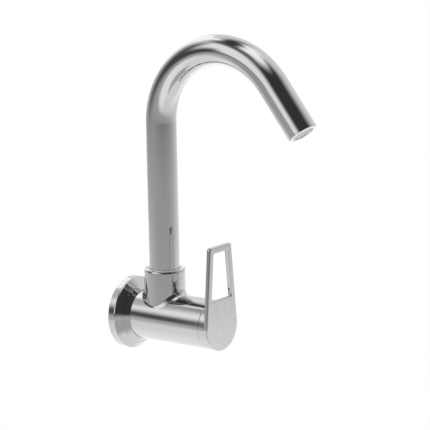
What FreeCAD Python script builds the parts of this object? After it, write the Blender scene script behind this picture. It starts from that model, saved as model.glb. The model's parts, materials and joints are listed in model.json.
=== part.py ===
"""Wall-mounted sink tap: a barrel body on a wall flange, a quarter-turn lever and a swivel spout.

Frame: the origin is where the inlet axis meets the wall, +Z is up and the tap stands out along -Y.
Lengths are millimetres and angles degrees. "Out" means away from the wall, along -Y.
"""

import FreeCAD
import Part
import Sketcher
import math
import os

from FreeCAD import Placement, Rotation, Vector

# Driving dimensions, each written once
SIZES = {
    # Spout tube
    "tube_diameter": 25.0,
    "tube_wall": 1.3,
    "riser_distance": 37.0,
    "bend_height": 164.0,
    "bend_radius": 64.0,
    "bend_sweep": 142.0,
    "end_length": 45.8,
    # Barrel body: lengths along the barrel run from the riser's axis
    "barrel_diameter": 41.0,
    "barrel_back": 12.0,
    "barrel_reach": 49.0,
    "barrel_edge_round": 0.6,
    "chamber_wall": 6.0,
    "chamber_lead": 11.0,
    "chamber_reach": 13.0,
    "bushing_depth": 11.0,
    "front_wall": 4.0,
    # Inlet: nominal half-inch pipe thread and the neck in the flange
    "thread_diameter": 20.955,
    "thread_depth": 1.162,
    "thread_pitch": 1.814,
    "thread_turns": 7,
    "thread_lead_in": 1.0,
    "thread_relief": 1.4,
    "thread_crest_share": 0.4,
    "inlet_wall": 2.8,
    "neck_shoulder": 2.5,
    # Spout collar on the barrel
    "collar_reach": 21.0,
    "collar_wall": 2.44,
    "collar_chamfer": 1.1,
    "saddle_fillet": 1.6,
    # Wall flange
    "flange_brim": 5.7,
    "flange_rim": 4.8,
    "flange_wall": 1.5,
    "flange_face_rise": 5.1,
    "flange_edge_round": 1.6,
    "hub_wall": 3.5,
    "hub_step": 0.6,
    "hub_cover": 3.5,
    "hub_lip": 0.6,
    "hub_edge_round": 0.5,
    # Swivel joint
    "bush_wall": 2.0,
    "bush_height": 6.6,
    "bush_flange": 1.2,
    "bush_recess": 0.8,
    "spigot_step": 0.2,
    "spigot_wall": 3.5,
    "spigot_insert": 12.0,
    "spigot_shoulder": 2.0,
    "retaining_groove_width": 3.6,
    "retaining_groove_depth": 1.6,
    "groove_land": 0.7,
    "o_ring_section": 1.9,
    "o_ring_groove_width": 2.3,
    # Set screws
    "spout_screw_diameter": 5.0,
    "spout_screw_point": 2.8,
    "spout_screw_sink": 0.4,
    "handle_screw_diameter": 4.0,
    "handle_screw_point": 1.0,
    "screw_point_share": 0.56,
    "hex_socket_share": 0.5,
    "hex_socket_depth": 2.0,
    # Ceramic headwork
    "headwork_thread_diameter": 24.0,
    "nose_step": 3.0,
    "headwork_wall": 1.4,
    "headwork_neck_wall": 3.0,
    "headwork_neck_reach": 4.0,
    "hex_shoulder": 1.5,
    "hex_height": 7.0,
    "gasket_thickness": 1.0,
    "seal_height": 2.5,
    "seal_wall": 2.4,
    "disc_thickness": 3.0,
    "disc_port": 5.0,
    "disc_port_circle": 8.2,
    "side_port": 5.6,
    "thrust_washer_height": 0.8,
    # Spindle
    "spindle_diameter": 10.0,
    "drive_flange": 2.2,
    "clip_thickness": 1.0,
    "clip_groove": 1.0,
    "clip_reach": 1.6,
    "spline_relief": 2.0,
    "spline_step": 1.0,
    "spline_teeth": 20,
    "spline_depth": 0.5,
    # Lever handle
    "handle_gap": 0.4,
    "skirt_depth": 5.5,
    "skirt_wall": 2.6,
    "skirt_edge_round": 0.4,
    "plate_thickness": 3.8,
    "plate_edge_round": 1.2,
    "lever_height": 67.4,
    "lever_top_width": 28.6,
    "lever_corner": 2.6,
    "lever_side_bar": 5.7,
    "lever_top_bar": 5.6,
    "window_sill": 2.4,
    "window_corner": 1.4,
    "spline_bush_wall": 3.0,
    "handle_hub_wall": 3.0,
    # Aerator at the outlet
    "aerator_lip": 6.5,
    "aerator_lip_round": 0.9,
    "aerator_sleeve": 7.2,
    "aerator_wall": 1.0,
    "outlet_bush_wall": 1.2,
    "outlet_bush_seat": 1.5,
    "outlet_bush_lip": 2.0,
    "washer_height": 1.8,
    "screen_thickness": 0.5,
    "insert_recess": 0.6,
    "insert_hole": 1.5,
    "insert_outer_holes": 14,
    "insert_inner_holes": 7,
    "insert_outer_share": 0.76,
    "insert_inner_share": 0.4,
    # Clearances
    "running_gap": 0.06,
    "disc_gap": 0.02,
    "screw_gap": 0.3,
}

doc = FreeCAD.newDocument("SinkTap")
sheet = doc.addObject("Spreadsheet::Sheet", "Sizes")
for row, (alias, number) in enumerate(SIZES.items(), start=1):
    sheet.set(f"A{row}", alias)
    sheet.set(f"B{row}", str(number))
    sheet.setAlias(f"B{row}", alias)
doc.recompute()


class Size:
    """A length or a share that holds its sheet formula and its present value side by side."""

    def __init__(self, text, value):
        self.text = text
        self.value = value

    def __add__(self, other):
        other = as_size(other)
        return Size(f"({self.text} + {other.text})", self.value + other.value)

    def __sub__(self, other):
        other = as_size(other)
        return Size(f"({self.text} - {other.text})", self.value - other.value)

    def __mul__(self, other):
        other = as_size(other)
        return Size(f"({self.text} * {other.text})", self.value * other.value)

    def __truediv__(self, other):
        other = as_size(other)
        return Size(f"({self.text} / {other.text})", self.value / other.value)

    def __neg__(self):
        return Size(f"(0 - {self.text})", -self.value)


def as_size(item):
    """Plain numbers join in formulas as themselves."""
    return item if isinstance(item, Size) else Size(repr(float(item)), float(item))


def get(alias):
    """The named cell of the sheet."""
    return Size(f"Sizes.{alias}", float(sheet.get(alias)))


def sine(angle):
    return Size(f"sin({angle.text} * 1 deg)", math.sin(math.radians(angle.value)))


def cosine(angle):
    return Size(f"cos({angle.text} * 1 deg)", math.cos(math.radians(angle.value)))


def root(area):
    return Size(f"sqrt({area.text})", math.sqrt(area.value))


def smaller(one, two):
    return Size(f"min({one.text}; {two.text})", min(one.value, two.value))


def larger(one, two):
    return Size(f"max({one.text}; {two.text})", max(one.value, two.value))


ZERO = as_size(0)
ONE = as_size(1)
HALF_SIDE = as_size(30)  # half of the angle that one side of a hexagon takes


def corner_radius(flat_r):
    """Radius to a hexagon's corners from the radius to its flats."""
    return flat_r / cosine(HALF_SIDE)


# Barrel: distances out from the wall
riser_out = get("riser_distance")
barrel_r = get("barrel_diameter") / 2
barrel_front = riser_out + get("barrel_reach")
chamber_back = riser_out - get("chamber_lead")
bushing_back = riser_out + get("chamber_reach")
bushing_front = bushing_back + get("bushing_depth")
thread_r = get("thread_diameter") / 2
thread_root_r = thread_r - get("thread_depth")
thread_end = -get("thread_relief") - get("thread_pitch") * get("thread_turns")
inlet_end = thread_end - get("thread_lead_in")
neck_r = thread_r + get("neck_shoulder")

# Swivel joint: heights above the barrel's axis
tube_r = get("tube_diameter") / 2
tube_inner_r = tube_r - get("tube_wall")
spigot_r = tube_inner_r - get("spigot_step")
spigot_inner_r = spigot_r - get("spigot_wall")
spigot_socket_r = spigot_r + get("running_gap")
bush_inner_r = tube_r + get("running_gap")
bush_outer_r = bush_inner_r + get("bush_wall")
collar_r = smaller(bush_outer_r + get("collar_wall"), barrel_r - get("saddle_fillet"))
collar_top = barrel_r + get("collar_reach")
bush_top = collar_top - get("bush_recess")
bush_bottom = bush_top - get("bush_height")
shoulder_bottom = bush_bottom + get("bush_flange") + get("running_gap")
tube_bottom = shoulder_bottom + get("spigot_shoulder")
groove_land = get("groove_land")
seal_groove = get("o_ring_groove_width")
upper_groove = bush_bottom - groove_land - seal_groove
holding_groove = upper_groove - groove_land - get("retaining_groove_width")
lower_groove = holding_groove - groove_land - seal_groove
spigot_bottom = lower_groove - groove_land
spigot_floor = spigot_bottom - get("screw_gap")
holding_height = holding_groove + get("retaining_groove_width") / 2

# Headwork and spindle: distances out from the wall
headwork_r = get("headwork_thread_diameter") / 2
nose_r = headwork_r - get("nose_step")
nose_inner_r = nose_r - get("headwork_wall")
disc_r = nose_inner_r - get("running_gap")
spindle_r = get("spindle_diameter") / 2
spindle_hole_r = spindle_r + get("running_gap")
headwork_neck_r = spindle_hole_r + get("headwork_neck_wall")
hex_flat_r = headwork_r + get("hex_shoulder")
hex_corner_r = corner_radius(hex_flat_r)
fixed_disc_back = chamber_back + get("seal_height")
nose_back = chamber_back + get("seal_height") / 2
moving_disc_back = fixed_disc_back + get("disc_thickness") + get("disc_gap")
drive_back = moving_disc_back + get("disc_thickness")
thrust_back = drive_back + get("drive_flange")
nose_end = thrust_back + get("thrust_washer_height")
hex_back = bushing_front + get("gasket_thickness")
hex_front = hex_back + get("hex_height")
headwork_front = hex_front + get("headwork_neck_reach")
clip_back = headwork_front + get("running_gap")
clip_front = clip_back + get("clip_thickness")
clip_inner_r = spindle_r - get("clip_groove")
spline_r = spindle_r - get("spline_step")
spline_start = clip_front + get("spline_relief")

# Lever handle
skirt_back = barrel_front + get("handle_gap")
plate_back = skirt_back + get("skirt_depth")
plate_front = plate_back + get("plate_thickness")
spline_end = plate_back - get("handle_gap")
screw_out = (skirt_back + plate_back) / 2
spline_bush_r = spline_r + get("spline_bush_wall")
handle_hub_r = spline_bush_r + get("handle_hub_wall")

# Outlet: distances down the spout's straight end
sweep = get("bend_sweep")
bend_side = get("bend_radius") * (ONE - cosine(sweep))
bend_end_height = get("bend_height") + get("bend_radius") * sine(sweep)
spout_end = get("end_length")
tube_end = spout_end - get("aerator_lip")
sleeve_r = tube_inner_r - get("outlet_bush_wall")
sleeve_inner_r = sleeve_r - get("aerator_wall")
washer_inner_r = sleeve_r - get("outlet_bush_lip")
sleeve_top = tube_end - get("aerator_sleeve")
washer_top = sleeve_top - get("washer_height")
outlet_bush_top = washer_top - get("outlet_bush_seat")
insert_top = sleeve_top + get("screen_thickness")
insert_bottom = spout_end - get("insert_recess")

# Each frame is a turn and an origin; pieces are drawn about its own Z axis
FRAMES = {
    "along_barrel": (Rotation(Vector(1, 0, 0), 90), {}),
    "up_riser": (Rotation(Vector(0, 0, 1), -90), {"y": -riser_out}),
    "down_outlet": (Rotation(Vector(1, 0, 0), sweep.value),
                    {"y": -riser_out - bend_side, "z": bend_end_height}),
    "out_of_collar": (Rotation(Vector(0, 1, 0), 90), {"y": -riser_out, "z": holding_height}),
    "under_handle": (Rotation(Vector(1, 0, 0), 180), {"y": -screw_out}),
}

pieces = []


def bind(item, path, size):
    item.setExpression(path, size.text)


def set_frame(item, frame):
    turn_by, origin = FRAMES[frame]
    item.Placement = Placement(Vector(0, 0, 0), turn_by)
    for axis, size in origin.items():
        bind(item, f"Placement.Base.{axis}", size)
    if frame == "down_outlet":
        item.setExpression("Placement.Rotation.Angle", f"{sweep.text} * 1 deg")


def new_body(label, frame):
    body = doc.addObject("PartDesign::Body", label)
    body.Label = label
    set_frame(body, frame)
    pieces.append(body)
    return body


def origin_feature(body, role):
    return next(item for item in body.Origin.OriginFeatures if item.Role == role)


def new_sketch(body, name, role, lift=None):
    """A sketch on one of the body's origin planes, lifted along the plane's normal if asked."""
    sketch = body.newObject("Sketcher::SketchObject", f"{body.Label}_{name}_sketch")
    sketch.AttachmentSupport = [(origin_feature(body, role), "")]
    sketch.MapMode = "FlatFace"
    if lift is not None:
        bind(sketch, "AttachmentOffset.Base.z", lift)
    return sketch


def limit(sketch, constraint, size):
    index = sketch.addConstraint(constraint)
    bind(sketch, f"Constraints[{index}]", size)


def pin(sketch, geometry, end, x, y):
    """Fixes a point of the sketch at named coordinates."""
    for kind, axis, size in (("DistanceX", -2, x), ("DistanceY", -1, y)):
        if size is ZERO:
            sketch.addConstraint(Sketcher.Constraint("PointOnObject", geometry, end, axis))
        else:
            limit(sketch, Sketcher.Constraint(kind, geometry, end, size.value), size)


def outline(sketch, corners):
    """A closed outline of straight lines through the corners."""
    first = sketch.GeometryCount
    points = [Vector(x.value, y.value, 0) for x, y in corners]
    following = points[1:] + points[:1]
    sketch.addGeometry([Part.LineSegment(a, b) for a, b in zip(points, following)], False)
    for i in range(len(points)):
        after = (i + 1) % len(points)
        sketch.addConstraint(Sketcher.Constraint("Coincident", first + i, 2, first + after, 1))
    for i, (x, y) in enumerate(corners):
        pin(sketch, first + i, 1, x, y)


def circle(sketch, x, y, radius):
    shape = Part.Circle(Vector(x.value, y.value, 0), Vector(0, 0, 1), radius.value)
    index = sketch.addGeometry(shape, False)
    if x is ZERO and y is ZERO:
        sketch.addConstraint(Sketcher.Constraint("Coincident", index, 3, -1, 1))
    else:
        pin(sketch, index, 3, x, y)
    limit(sketch, Sketcher.Constraint("Radius", index, radius.value), radius)


def hexagon(sketch, flat_r):
    corner_r = corner_radius(flat_r)
    angles = [HALF_SIDE + HALF_SIDE * 2 * i for i in range(6)]
    outline(sketch, [(corner_r * cosine(a), corner_r * sine(a)) for a in angles])


def settle(feature):
    """Recomputes, and stops if the feature adds or cuts nothing."""
    base = getattr(feature, "BaseFeature", None)
    before = base.Shape.Volume if base else 0.0
    doc.recompute()
    if abs(feature.Shape.Volume - before) < 1e-6:
        raise RuntimeError(f"{feature.Label} changes nothing")
    return feature


def turned(body, name, corners, cut=False):
    """A shape turned about the frame's Z axis from (radius, distance) corners, added or cut."""
    sketch = new_sketch(body, name, "XZ_Plane")
    outline(sketch, corners)
    kind = "PartDesign::Groove" if cut else "PartDesign::Revolution"
    feature = body.newObject(kind, f"{body.Label}_{name}")
    feature.Profile = sketch
    feature.ReferenceAxis = (sketch, ["V_Axis"])
    feature.Angle = 360.0
    return settle(feature)


def ring(body, name, inner, outer, start, end):
    """A turned ring of square section."""
    return turned(body, name, [(inner, start), (outer, start), (outer, end), (inner, end)])


def extruded(body, name, sketch, length, cut=False, reverse=False, both=False):
    kind = "PartDesign::Pocket" if cut else "PartDesign::Pad"
    feature = body.newObject(kind, f"{body.Label}_{name}")
    feature.Profile = sketch
    feature.Type = "Length"
    feature.Reversed = reverse
    feature.Midplane = both
    bind(feature, "Length", length)
    return settle(feature)


def repeated(body, feature, name, count):
    """Copies a feature evenly round the frame's Z axis."""
    pattern = body.newObject("PartDesign::PolarPattern", f"{body.Label}_{name}")
    pattern.Originals = [feature]
    pattern.Axis = (origin_feature(body, "Z_Axis"), [""])
    pattern.Angle = 360.0
    bind(pattern, "Occurrences", count)
    body.Tip = pattern
    return settle(pattern)


def rim_at(radius, distance):
    """Test for a full circle of that radius about the frame's Z axis at that distance."""

    def test(edge):
        curve = edge.Curve
        if not isinstance(curve, Part.Circle) or math.hypot(curve.Center.x, curve.Center.y) > 1e-4:
            return False
        return abs(curve.Radius - radius.value) < 1e-4 and abs(curve.Center.z - distance.value) < 1e-4

    return test


def dressed(body, kind, name, feature, test, size):
    """Fillets or chamfers the edges of a feature that pass the test."""
    names = [f"Edge{i}" for i, edge in enumerate(feature.Shape.Edges, start=1) if test(edge)]
    if not names:
        raise RuntimeError(f"{body.Label} has no edge for {name}")
    dressing = body.newObject(f"PartDesign::{kind}", f"{body.Label}_{name}")
    dressing.Base = (feature, names)
    bind(dressing, "Radius" if kind == "Fillet" else "Size", size)
    return settle(dressing)


# The fixed body


def tap_body():
    """Brass barrel with its inlet thread, valve chamber and spout collar."""
    body = new_body("tap_body", "along_barrel")
    back = get("barrel_back")
    turned(body, "barrel", [(ZERO, ZERO), (neck_r, ZERO), (neck_r, back), (barrel_r, back),
                            (barrel_r, barrel_front), (ZERO, barrel_front)])
    sketch = new_sketch(body, "collar", "XZ_Plane")
    circle(sketch, ZERO, riser_out, collar_r)
    collar = extruded(body, "collar", sketch, collar_top, reverse=True)

    def is_saddle(edge):
        """The curve where the collar meets the barrel is neither straight nor round."""
        return not isinstance(edge.Curve, (Part.Circle, Part.Line)) and edge.BoundBox.ZLength > collar_r.value

    def is_collar_rim(edge):
        return isinstance(edge.Curve, Part.Circle) and abs(edge.BoundBox.YMin - collar_top.value) < 1e-4

    saddle_round = smaller(get("saddle_fillet"), (barrel_r - collar_r) / 2)
    rim_chamfer = smaller(get("collar_chamfer"), (collar_r - bush_outer_r) / 2)
    saddle = dressed(body, "Fillet", "saddle", collar, is_saddle, saddle_round)
    rim = dressed(body, "Chamfer", "collar_rim", saddle, is_collar_rim, rim_chamfer)
    dressed(body, "Fillet", "front_edge", rim, rim_at(barrel_r, barrel_front), get("barrel_edge_round"))
    turned(body, "inlet_thread", thread_corners())
    chamber_r = barrel_r - get("chamber_wall")
    front_r = larger(barrel_r - get("front_wall"), hex_corner_r + get("screw_gap"))
    inlet_r = thread_root_r - get("inlet_wall")
    turned(body, "waterway", [(ZERO, inlet_end), (inlet_r, inlet_end), (inlet_r, chamber_back),
                              (chamber_r, chamber_back), (chamber_r, bushing_back),
                              (headwork_r, bushing_back), (headwork_r, bushing_front),
                              (front_r, bushing_front), (front_r, barrel_front),
                              (ZERO, barrel_front)], cut=True)
    for name, radius, floor in (("port", spigot_inner_r, ZERO),
                                ("spigot_socket", spigot_socket_r, spigot_floor),
                                ("bush_seat", bush_outer_r, bush_bottom)):
        sketch = new_sketch(body, name, "XZ_Plane", -floor)
        circle(sketch, ZERO, riser_out, radius)
        extruded(body, name, sketch, collar_top - floor, cut=True)
    sketch = new_sketch(body, "screw_hole", "YZ_Plane")
    circle(sketch, holding_height, riser_out, get("spout_screw_diameter") / 2)
    extruded(body, "screw_hole", sketch, collar_r, cut=True, reverse=True)


def thread_corners():
    """Half section of the inlet spigot behind the wall, with one land for each turn of its thread."""
    pitch = get("thread_pitch")
    flank = (ONE - get("thread_crest_share")) / 2 * pitch
    crest = get("thread_crest_share") * pitch
    corners = [(ZERO, ZERO), (thread_root_r, ZERO), (thread_root_r, -get("thread_relief"))]
    for i in range(int(get("thread_turns").value)):
        start = -get("thread_relief") - pitch * i
        top = start - flank
        corners += [(thread_r, top), (thread_r, top - crest), (thread_root_r, start - pitch)]
    return corners + [(thread_root_r, inlet_end), (ZERO, inlet_end)]


def wall_flange():
    """Turned cup that hides the hole in the wall: rim, sloping face and a sloping hub round the barrel."""
    body = new_body("wall_flange", "along_barrel")
    wall, web_front = get("flange_wall"), get("barrel_back")
    web_back = web_front - wall
    barrel_seat_r = barrel_r + get("screw_gap")
    lip_r = barrel_seat_r + get("hub_lip")
    hub_r = barrel_seat_r + get("hub_wall")
    step_r = hub_r + get("hub_step")
    hub_front = web_front + get("hub_cover")
    rim_r = hub_r + get("flange_brim")
    face = get("flange_rim") + get("flange_edge_round")
    hub_foot = face + get("flange_face_rise")
    neck_hole_r = neck_r + get("running_gap")
    cup = turned(body, "cup", [
        (rim_r, ZERO), (rim_r, face), (step_r, hub_foot), (hub_r, hub_foot), (lip_r, hub_front),
        (barrel_seat_r, hub_front), (barrel_seat_r, web_front), (neck_hole_r, web_front),
        (neck_hole_r, web_back), (hub_r - wall, web_back), (hub_r - wall, face),
        (rim_r - wall, face - wall / 2), (rim_r - wall, ZERO)])
    rim = dressed(body, "Fillet", "rim_edge", cup, rim_at(rim_r, face), get("flange_edge_round"))
    dressed(body, "Fillet", "hub_edge", rim, rim_at(lip_r, hub_front), get("hub_edge_round"))


def headwork_housing():
    """Brass shell of the ceramic headwork: nose with side ports, thread, hexagon and front neck."""
    body = new_body("headwork_housing", "along_barrel")
    bushing_r = headwork_r - get("running_gap")
    turned(body, "shell", [
        (nose_inner_r, nose_back), (nose_r, nose_back), (nose_r, bushing_back), (bushing_r, bushing_back),
        (bushing_r, hex_back), (headwork_neck_r, hex_back), (headwork_neck_r, headwork_front),
        (spindle_hole_r, headwork_front), (spindle_hole_r, nose_end), (nose_inner_r, nose_end)])
    sketch = new_sketch(body, "hexagon", "XY_Plane", hex_back)
    hexagon(sketch, hex_flat_r)
    circle(sketch, ZERO, ZERO, headwork_neck_r)
    extruded(body, "hexagon", sketch, get("hex_height"))
    sketch = new_sketch(body, "side_ports", "XZ_Plane")
    circle(sketch, ZERO, moving_disc_back + get("disc_thickness") / 2, get("side_port") / 2)
    extruded(body, "side_ports", sketch, nose_r * 2, cut=True, both=True)


def headwork_gasket():
    """Flat sealing ring under the headwork's hexagon."""
    body = new_body("headwork_gasket", "along_barrel")
    ring(body, "ring", headwork_r, hex_flat_r, bushing_front, hex_back)


def seat_seal():
    """Rubber lip seal between the headwork's nose and the valve seat."""
    body = new_body("seat_seal", "along_barrel")
    inner = nose_inner_r - get("seal_wall")
    turned(body, "ring", [(inner, chamber_back), (nose_r, chamber_back), (nose_r, nose_back),
                          (nose_inner_r, nose_back), (nose_inner_r, fixed_disc_back),
                          (inner, fixed_disc_back)])


def fixed_disc():
    """Lower ceramic disc with two round ports, one above the other."""
    body = new_body("fixed_disc", "along_barrel")
    ring(body, "disc", ZERO, disc_r, fixed_disc_back, fixed_disc_back + get("disc_thickness"))
    sketch = new_sketch(body, "ports", "XY_Plane", fixed_disc_back)
    for height in (get("disc_port_circle") / 2, -get("disc_port_circle") / 2):
        circle(sketch, ZERO, height, get("disc_port") / 2)
    extruded(body, "ports", sketch, get("disc_thickness"), cut=True, reverse=True)


def thrust_washer():
    """Plastic friction ring between the spindle's flange and the headwork's housing."""
    body = new_body("thrust_washer", "along_barrel")
    ring(body, "ring", spindle_hole_r, nose_inner_r, thrust_back + get("running_gap"), nose_end)


def swivel_bush():
    """Plastic bearing bush in the collar's mouth; the spout's shoulder turns on its inner flange."""
    body = new_body("swivel_bush", "up_riser")
    flange_top = bush_bottom + get("bush_flange")
    turned(body, "bush", [(spigot_socket_r, bush_bottom), (bush_outer_r, bush_bottom),
                          (bush_outer_r, bush_top), (bush_inner_r, bush_top), (bush_inner_r, flange_top),
                          (spigot_socket_r, flange_top)])


def set_screw(label, frame, diameter, tip, head, point_length):
    """Hexagon-socket set screw about the frame's Z axis, from its dog point to its flat head."""
    body = new_body(label, frame)
    shank_r = diameter / 2
    point_r = shank_r * get("screw_point_share")
    shoulder = tip + point_length
    turned(body, "shank", [(ZERO, tip), (point_r, tip), (point_r, shoulder), (shank_r, shoulder),
                           (shank_r, head), (ZERO, head)])
    sketch = new_sketch(body, "socket", "XY_Plane", head)
    hexagon(sketch, shank_r * get("hex_socket_share"))
    extruded(body, "socket", sketch, get("hex_socket_depth"), cut=True)


def spout_retaining_screw():
    """Set screw through the collar's side; its point rides in the spigot's groove."""
    tip = spigot_r - get("retaining_groove_depth") + get("screw_gap")
    head = collar_r - get("spout_screw_sink")
    set_screw("spout_retaining_screw", "out_of_collar", get("spout_screw_diameter"), tip, head,
              get("spout_screw_point"))


# The lever and what turns with it


def lever_handle():
    """Cast lever: round cap over the barrel's end, a flat tapered plate with a window, and a hub."""
    body = new_body("lever_handle", "along_barrel")
    sketch = new_sketch(body, "plate", "XY_Plane", plate_back)
    plate_outline(sketch)
    extruded(body, "plate", sketch, get("plate_thickness"))
    window_bottom = barrel_r + get("window_sill")
    window_top = get("lever_height") - get("lever_top_bar")
    sketch = new_sketch(body, "window", "XY_Plane", plate_front)
    bottom_x, top_x = window_half_width(window_bottom), window_half_width(window_top)
    outline(sketch, [(-bottom_x, window_bottom), (bottom_x, window_bottom), (top_x, window_top),
                     (-top_x, window_top)])
    window = extruded(body, "window", sketch, get("plate_thickness"), cut=True)

    def is_thickness_edge(edge):
        return isinstance(edge.Curve, Part.Line) and edge.BoundBox.ZLength > get("plate_thickness").value / 2

    def is_top_corner(edge):
        return is_thickness_edge(edge) and edge.BoundBox.YMin > window_top.value + 1e-3

    def is_window_corner(edge):
        height = edge.BoundBox.YMin
        return is_thickness_edge(edge) and window_bottom.value - 1e-3 < height < window_top.value + 1e-3

    def is_face_edge(edge):
        return edge.BoundBox.ZLength < 1e-4

    corners = dressed(body, "Fillet", "top_corners", window, is_top_corner, get("lever_corner"))
    inside = dressed(body, "Fillet", "window_corners", corners, is_window_corner, get("window_corner"))
    dressed(body, "Fillet", "plate_edges", inside, is_face_edge, get("plate_edge_round"))
    seam = plate_back + get("plate_edge_round") * 2
    skirt = ring(body, "skirt", barrel_r - get("skirt_wall"), barrel_r, skirt_back, seam)
    dressed(body, "Fillet", "skirt_edge", skirt, rim_at(barrel_r, skirt_back), get("skirt_edge_round"))
    ring(body, "hub", spline_bush_r, handle_hub_r, spline_start, seam)
    sketch = new_sketch(body, "screw_hole", "XZ_Plane")
    circle(sketch, ZERO, screw_out, get("handle_screw_diameter") / 2)
    extruded(body, "screw_hole", sketch, handle_hub_r, cut=True, reverse=True)
    sketch = new_sketch(body, "key_hole", "XZ_Plane", handle_hub_r)
    circle(sketch, ZERO, screw_out, get("handle_screw_diameter") / 2 + get("screw_gap"))
    extruded(body, "key_hole", sketch, barrel_r - handle_hub_r, cut=True, reverse=True)


def lever_side():
    """Unit normal of the plate's right-hand side, which touches the round end and the top corner."""
    half_top, top = get("lever_top_width") / 2, get("lever_height")
    square = half_top * half_top + top * top
    tangent = root(square - barrel_r * barrel_r)
    return (half_top * barrel_r + top * tangent) / square, (top * barrel_r - half_top * tangent) / square


def window_half_width(height):
    """Half of the window's width at a height, one side bar in from the plate's side."""
    normal_x, normal_y = lever_side()
    return (barrel_r - get("lever_side_bar") - normal_y * height) / normal_x


def plate_outline(sketch):
    """A round lower end, tangent sides that taper upwards, and a straight top."""
    half_top, top = get("lever_top_width") / 2, get("lever_height")
    normal_x, normal_y = lever_side()
    touch = math.atan2(normal_y.value, normal_x.value)
    right = Vector(barrel_r.value * normal_x.value, barrel_r.value * normal_y.value, 0)
    left = Vector(-right.x, right.y, 0)
    top_right = Vector(half_top.value, top.value, 0)
    top_left = Vector(-half_top.value, top.value, 0)
    whole = Part.Circle(Vector(0, 0, 0), Vector(0, 0, 1), barrel_r.value)
    sketch.addGeometry([Part.ArcOfCircle(whole, math.pi - touch, 2 * math.pi + touch),
                        Part.LineSegment(right, top_right), Part.LineSegment(top_right, top_left),
                        Part.LineSegment(top_left, left)], False)
    sketch.addConstraint(Sketcher.Constraint("Coincident", 0, 3, -1, 1))
    limit(sketch, Sketcher.Constraint("Radius", 0, barrel_r.value), barrel_r)
    sketch.addConstraint(Sketcher.Constraint("Tangent", 0, 2, 1, 1))
    sketch.addConstraint(Sketcher.Constraint("Coincident", 1, 2, 2, 1))
    sketch.addConstraint(Sketcher.Constraint("Coincident", 2, 2, 3, 1))
    sketch.addConstraint(Sketcher.Constraint("Tangent", 3, 2, 0, 1))
    pin(sketch, 2, 1, half_top, top)
    pin(sketch, 3, 1, -half_top, top)


def spline_bush():
    """Plastic splined bush pressed into the lever's hub, with a hole for the set screw."""
    body = new_body("spline_bush", "along_barrel")
    ring(body, "bush", spline_r, spline_bush_r, spline_start, plate_back)
    sketch = new_sketch(body, "screw_hole", "XZ_Plane")
    circle(sketch, ZERO, screw_out, get("handle_screw_diameter") / 2)
    extruded(body, "screw_hole", sketch, spline_bush_r, cut=True, reverse=True)


def handle_screw():
    """Set screw that locks the lever's hub to the spindle, reached through the cap from below."""
    set_screw("handle_screw", "under_handle", get("handle_screw_diameter"), spline_r, handle_hub_r,
              get("handle_screw_point"))


def spindle():
    """Stem that turns the upper disc: drive flange, sealed shank and splined end."""
    body = new_body("spindle", "along_barrel")
    groove_r = spindle_r - get("o_ring_section") + get("running_gap")
    core_r = spline_r - get("spline_depth")
    core_start = spline_start - get("running_gap")
    corners = [(ZERO, drive_back), (disc_r, drive_back), (disc_r, thrust_back), (spindle_r, thrust_back)]
    for start in spindle_grooves():
        end = start + seal_groove
        corners += [(spindle_r, start), (groove_r, start), (groove_r, end), (spindle_r, end)]
    corners += [(spindle_r, clip_back), (clip_inner_r, clip_back), (clip_inner_r, clip_front),
                (spindle_r, clip_front), (spindle_r, core_start), (core_r, core_start), (core_r, spline_end),
                (ZERO, spline_end)]
    turned(body, "stem", corners)
    sketch = new_sketch(body, "tooth", "XY_Plane", core_start)
    half = get("spline_depth") / 2
    tooth_root = core_r - half
    tooth_tip = spline_r - get("running_gap")
    outline(sketch, [(tooth_root, -half), (tooth_tip, -half / 2), (tooth_tip, half / 2), (tooth_root, half)])
    tooth = extruded(body, "tooth", sketch, spline_end - core_start)
    repeated(body, tooth, "spline", get("spline_teeth"))


def spindle_grooves():
    """Where the two O-ring grooves start, at the thirds of the spindle's hole."""
    span = headwork_front - nose_end
    return [nose_end + span / 3, nose_end + span * 2 / 3]


def moving_disc():
    """Upper ceramic disc; its two side notches lie across the lower disc's ports until it turns."""
    body = new_body("moving_disc", "along_barrel")
    ring(body, "disc", ZERO, disc_r, moving_disc_back, drive_back)
    half = get("disc_port") / 2
    notch_r = get("disc_port_circle") / 2 - half
    sketch = new_sketch(body, "notch", "XY_Plane", moving_disc_back)
    outline(sketch, [(notch_r, -half), (nose_r, -half), (nose_r, half), (notch_r, half)])
    notch = extruded(body, "notch", sketch, get("disc_thickness"), cut=True, reverse=True)
    repeated(body, notch, "notches", as_size(2))


def spindle_clip():
    """Spring clip in the spindle's groove, in front of the headwork's neck."""
    body = new_body("spindle_clip", "along_barrel")
    ring(body, "ring", clip_inner_r, spindle_r + get("clip_reach"), clip_back, clip_front)


def o_rings(label, frame, outer_r, axis, centres):
    """One node of round-section rings, a separate solid for each groove."""
    section_r = get("o_ring_section") / 2 - get("running_gap")
    rings = []
    for i, centre in enumerate(centres, start=1):
        torus = doc.addObject("Part::Torus", f"{label}_{i}")
        set_frame(torus, frame)
        bind(torus, "Radius1", outer_r - section_r)
        bind(torus, "Radius2", section_r)
        bind(torus, f"Placement.Base.{axis}", centre)
        rings.append(torus)
    group = doc.addObject("Part::Compound", label)
    group.Label = label
    group.Links = rings
    pieces.append(group)


def spindle_o_rings():
    o_rings("spindle_o_rings", "along_barrel", spindle_r, "y",
            [-(start + seal_groove / 2) for start in spindle_grooves()])


# The spout and what swivels with it


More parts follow.
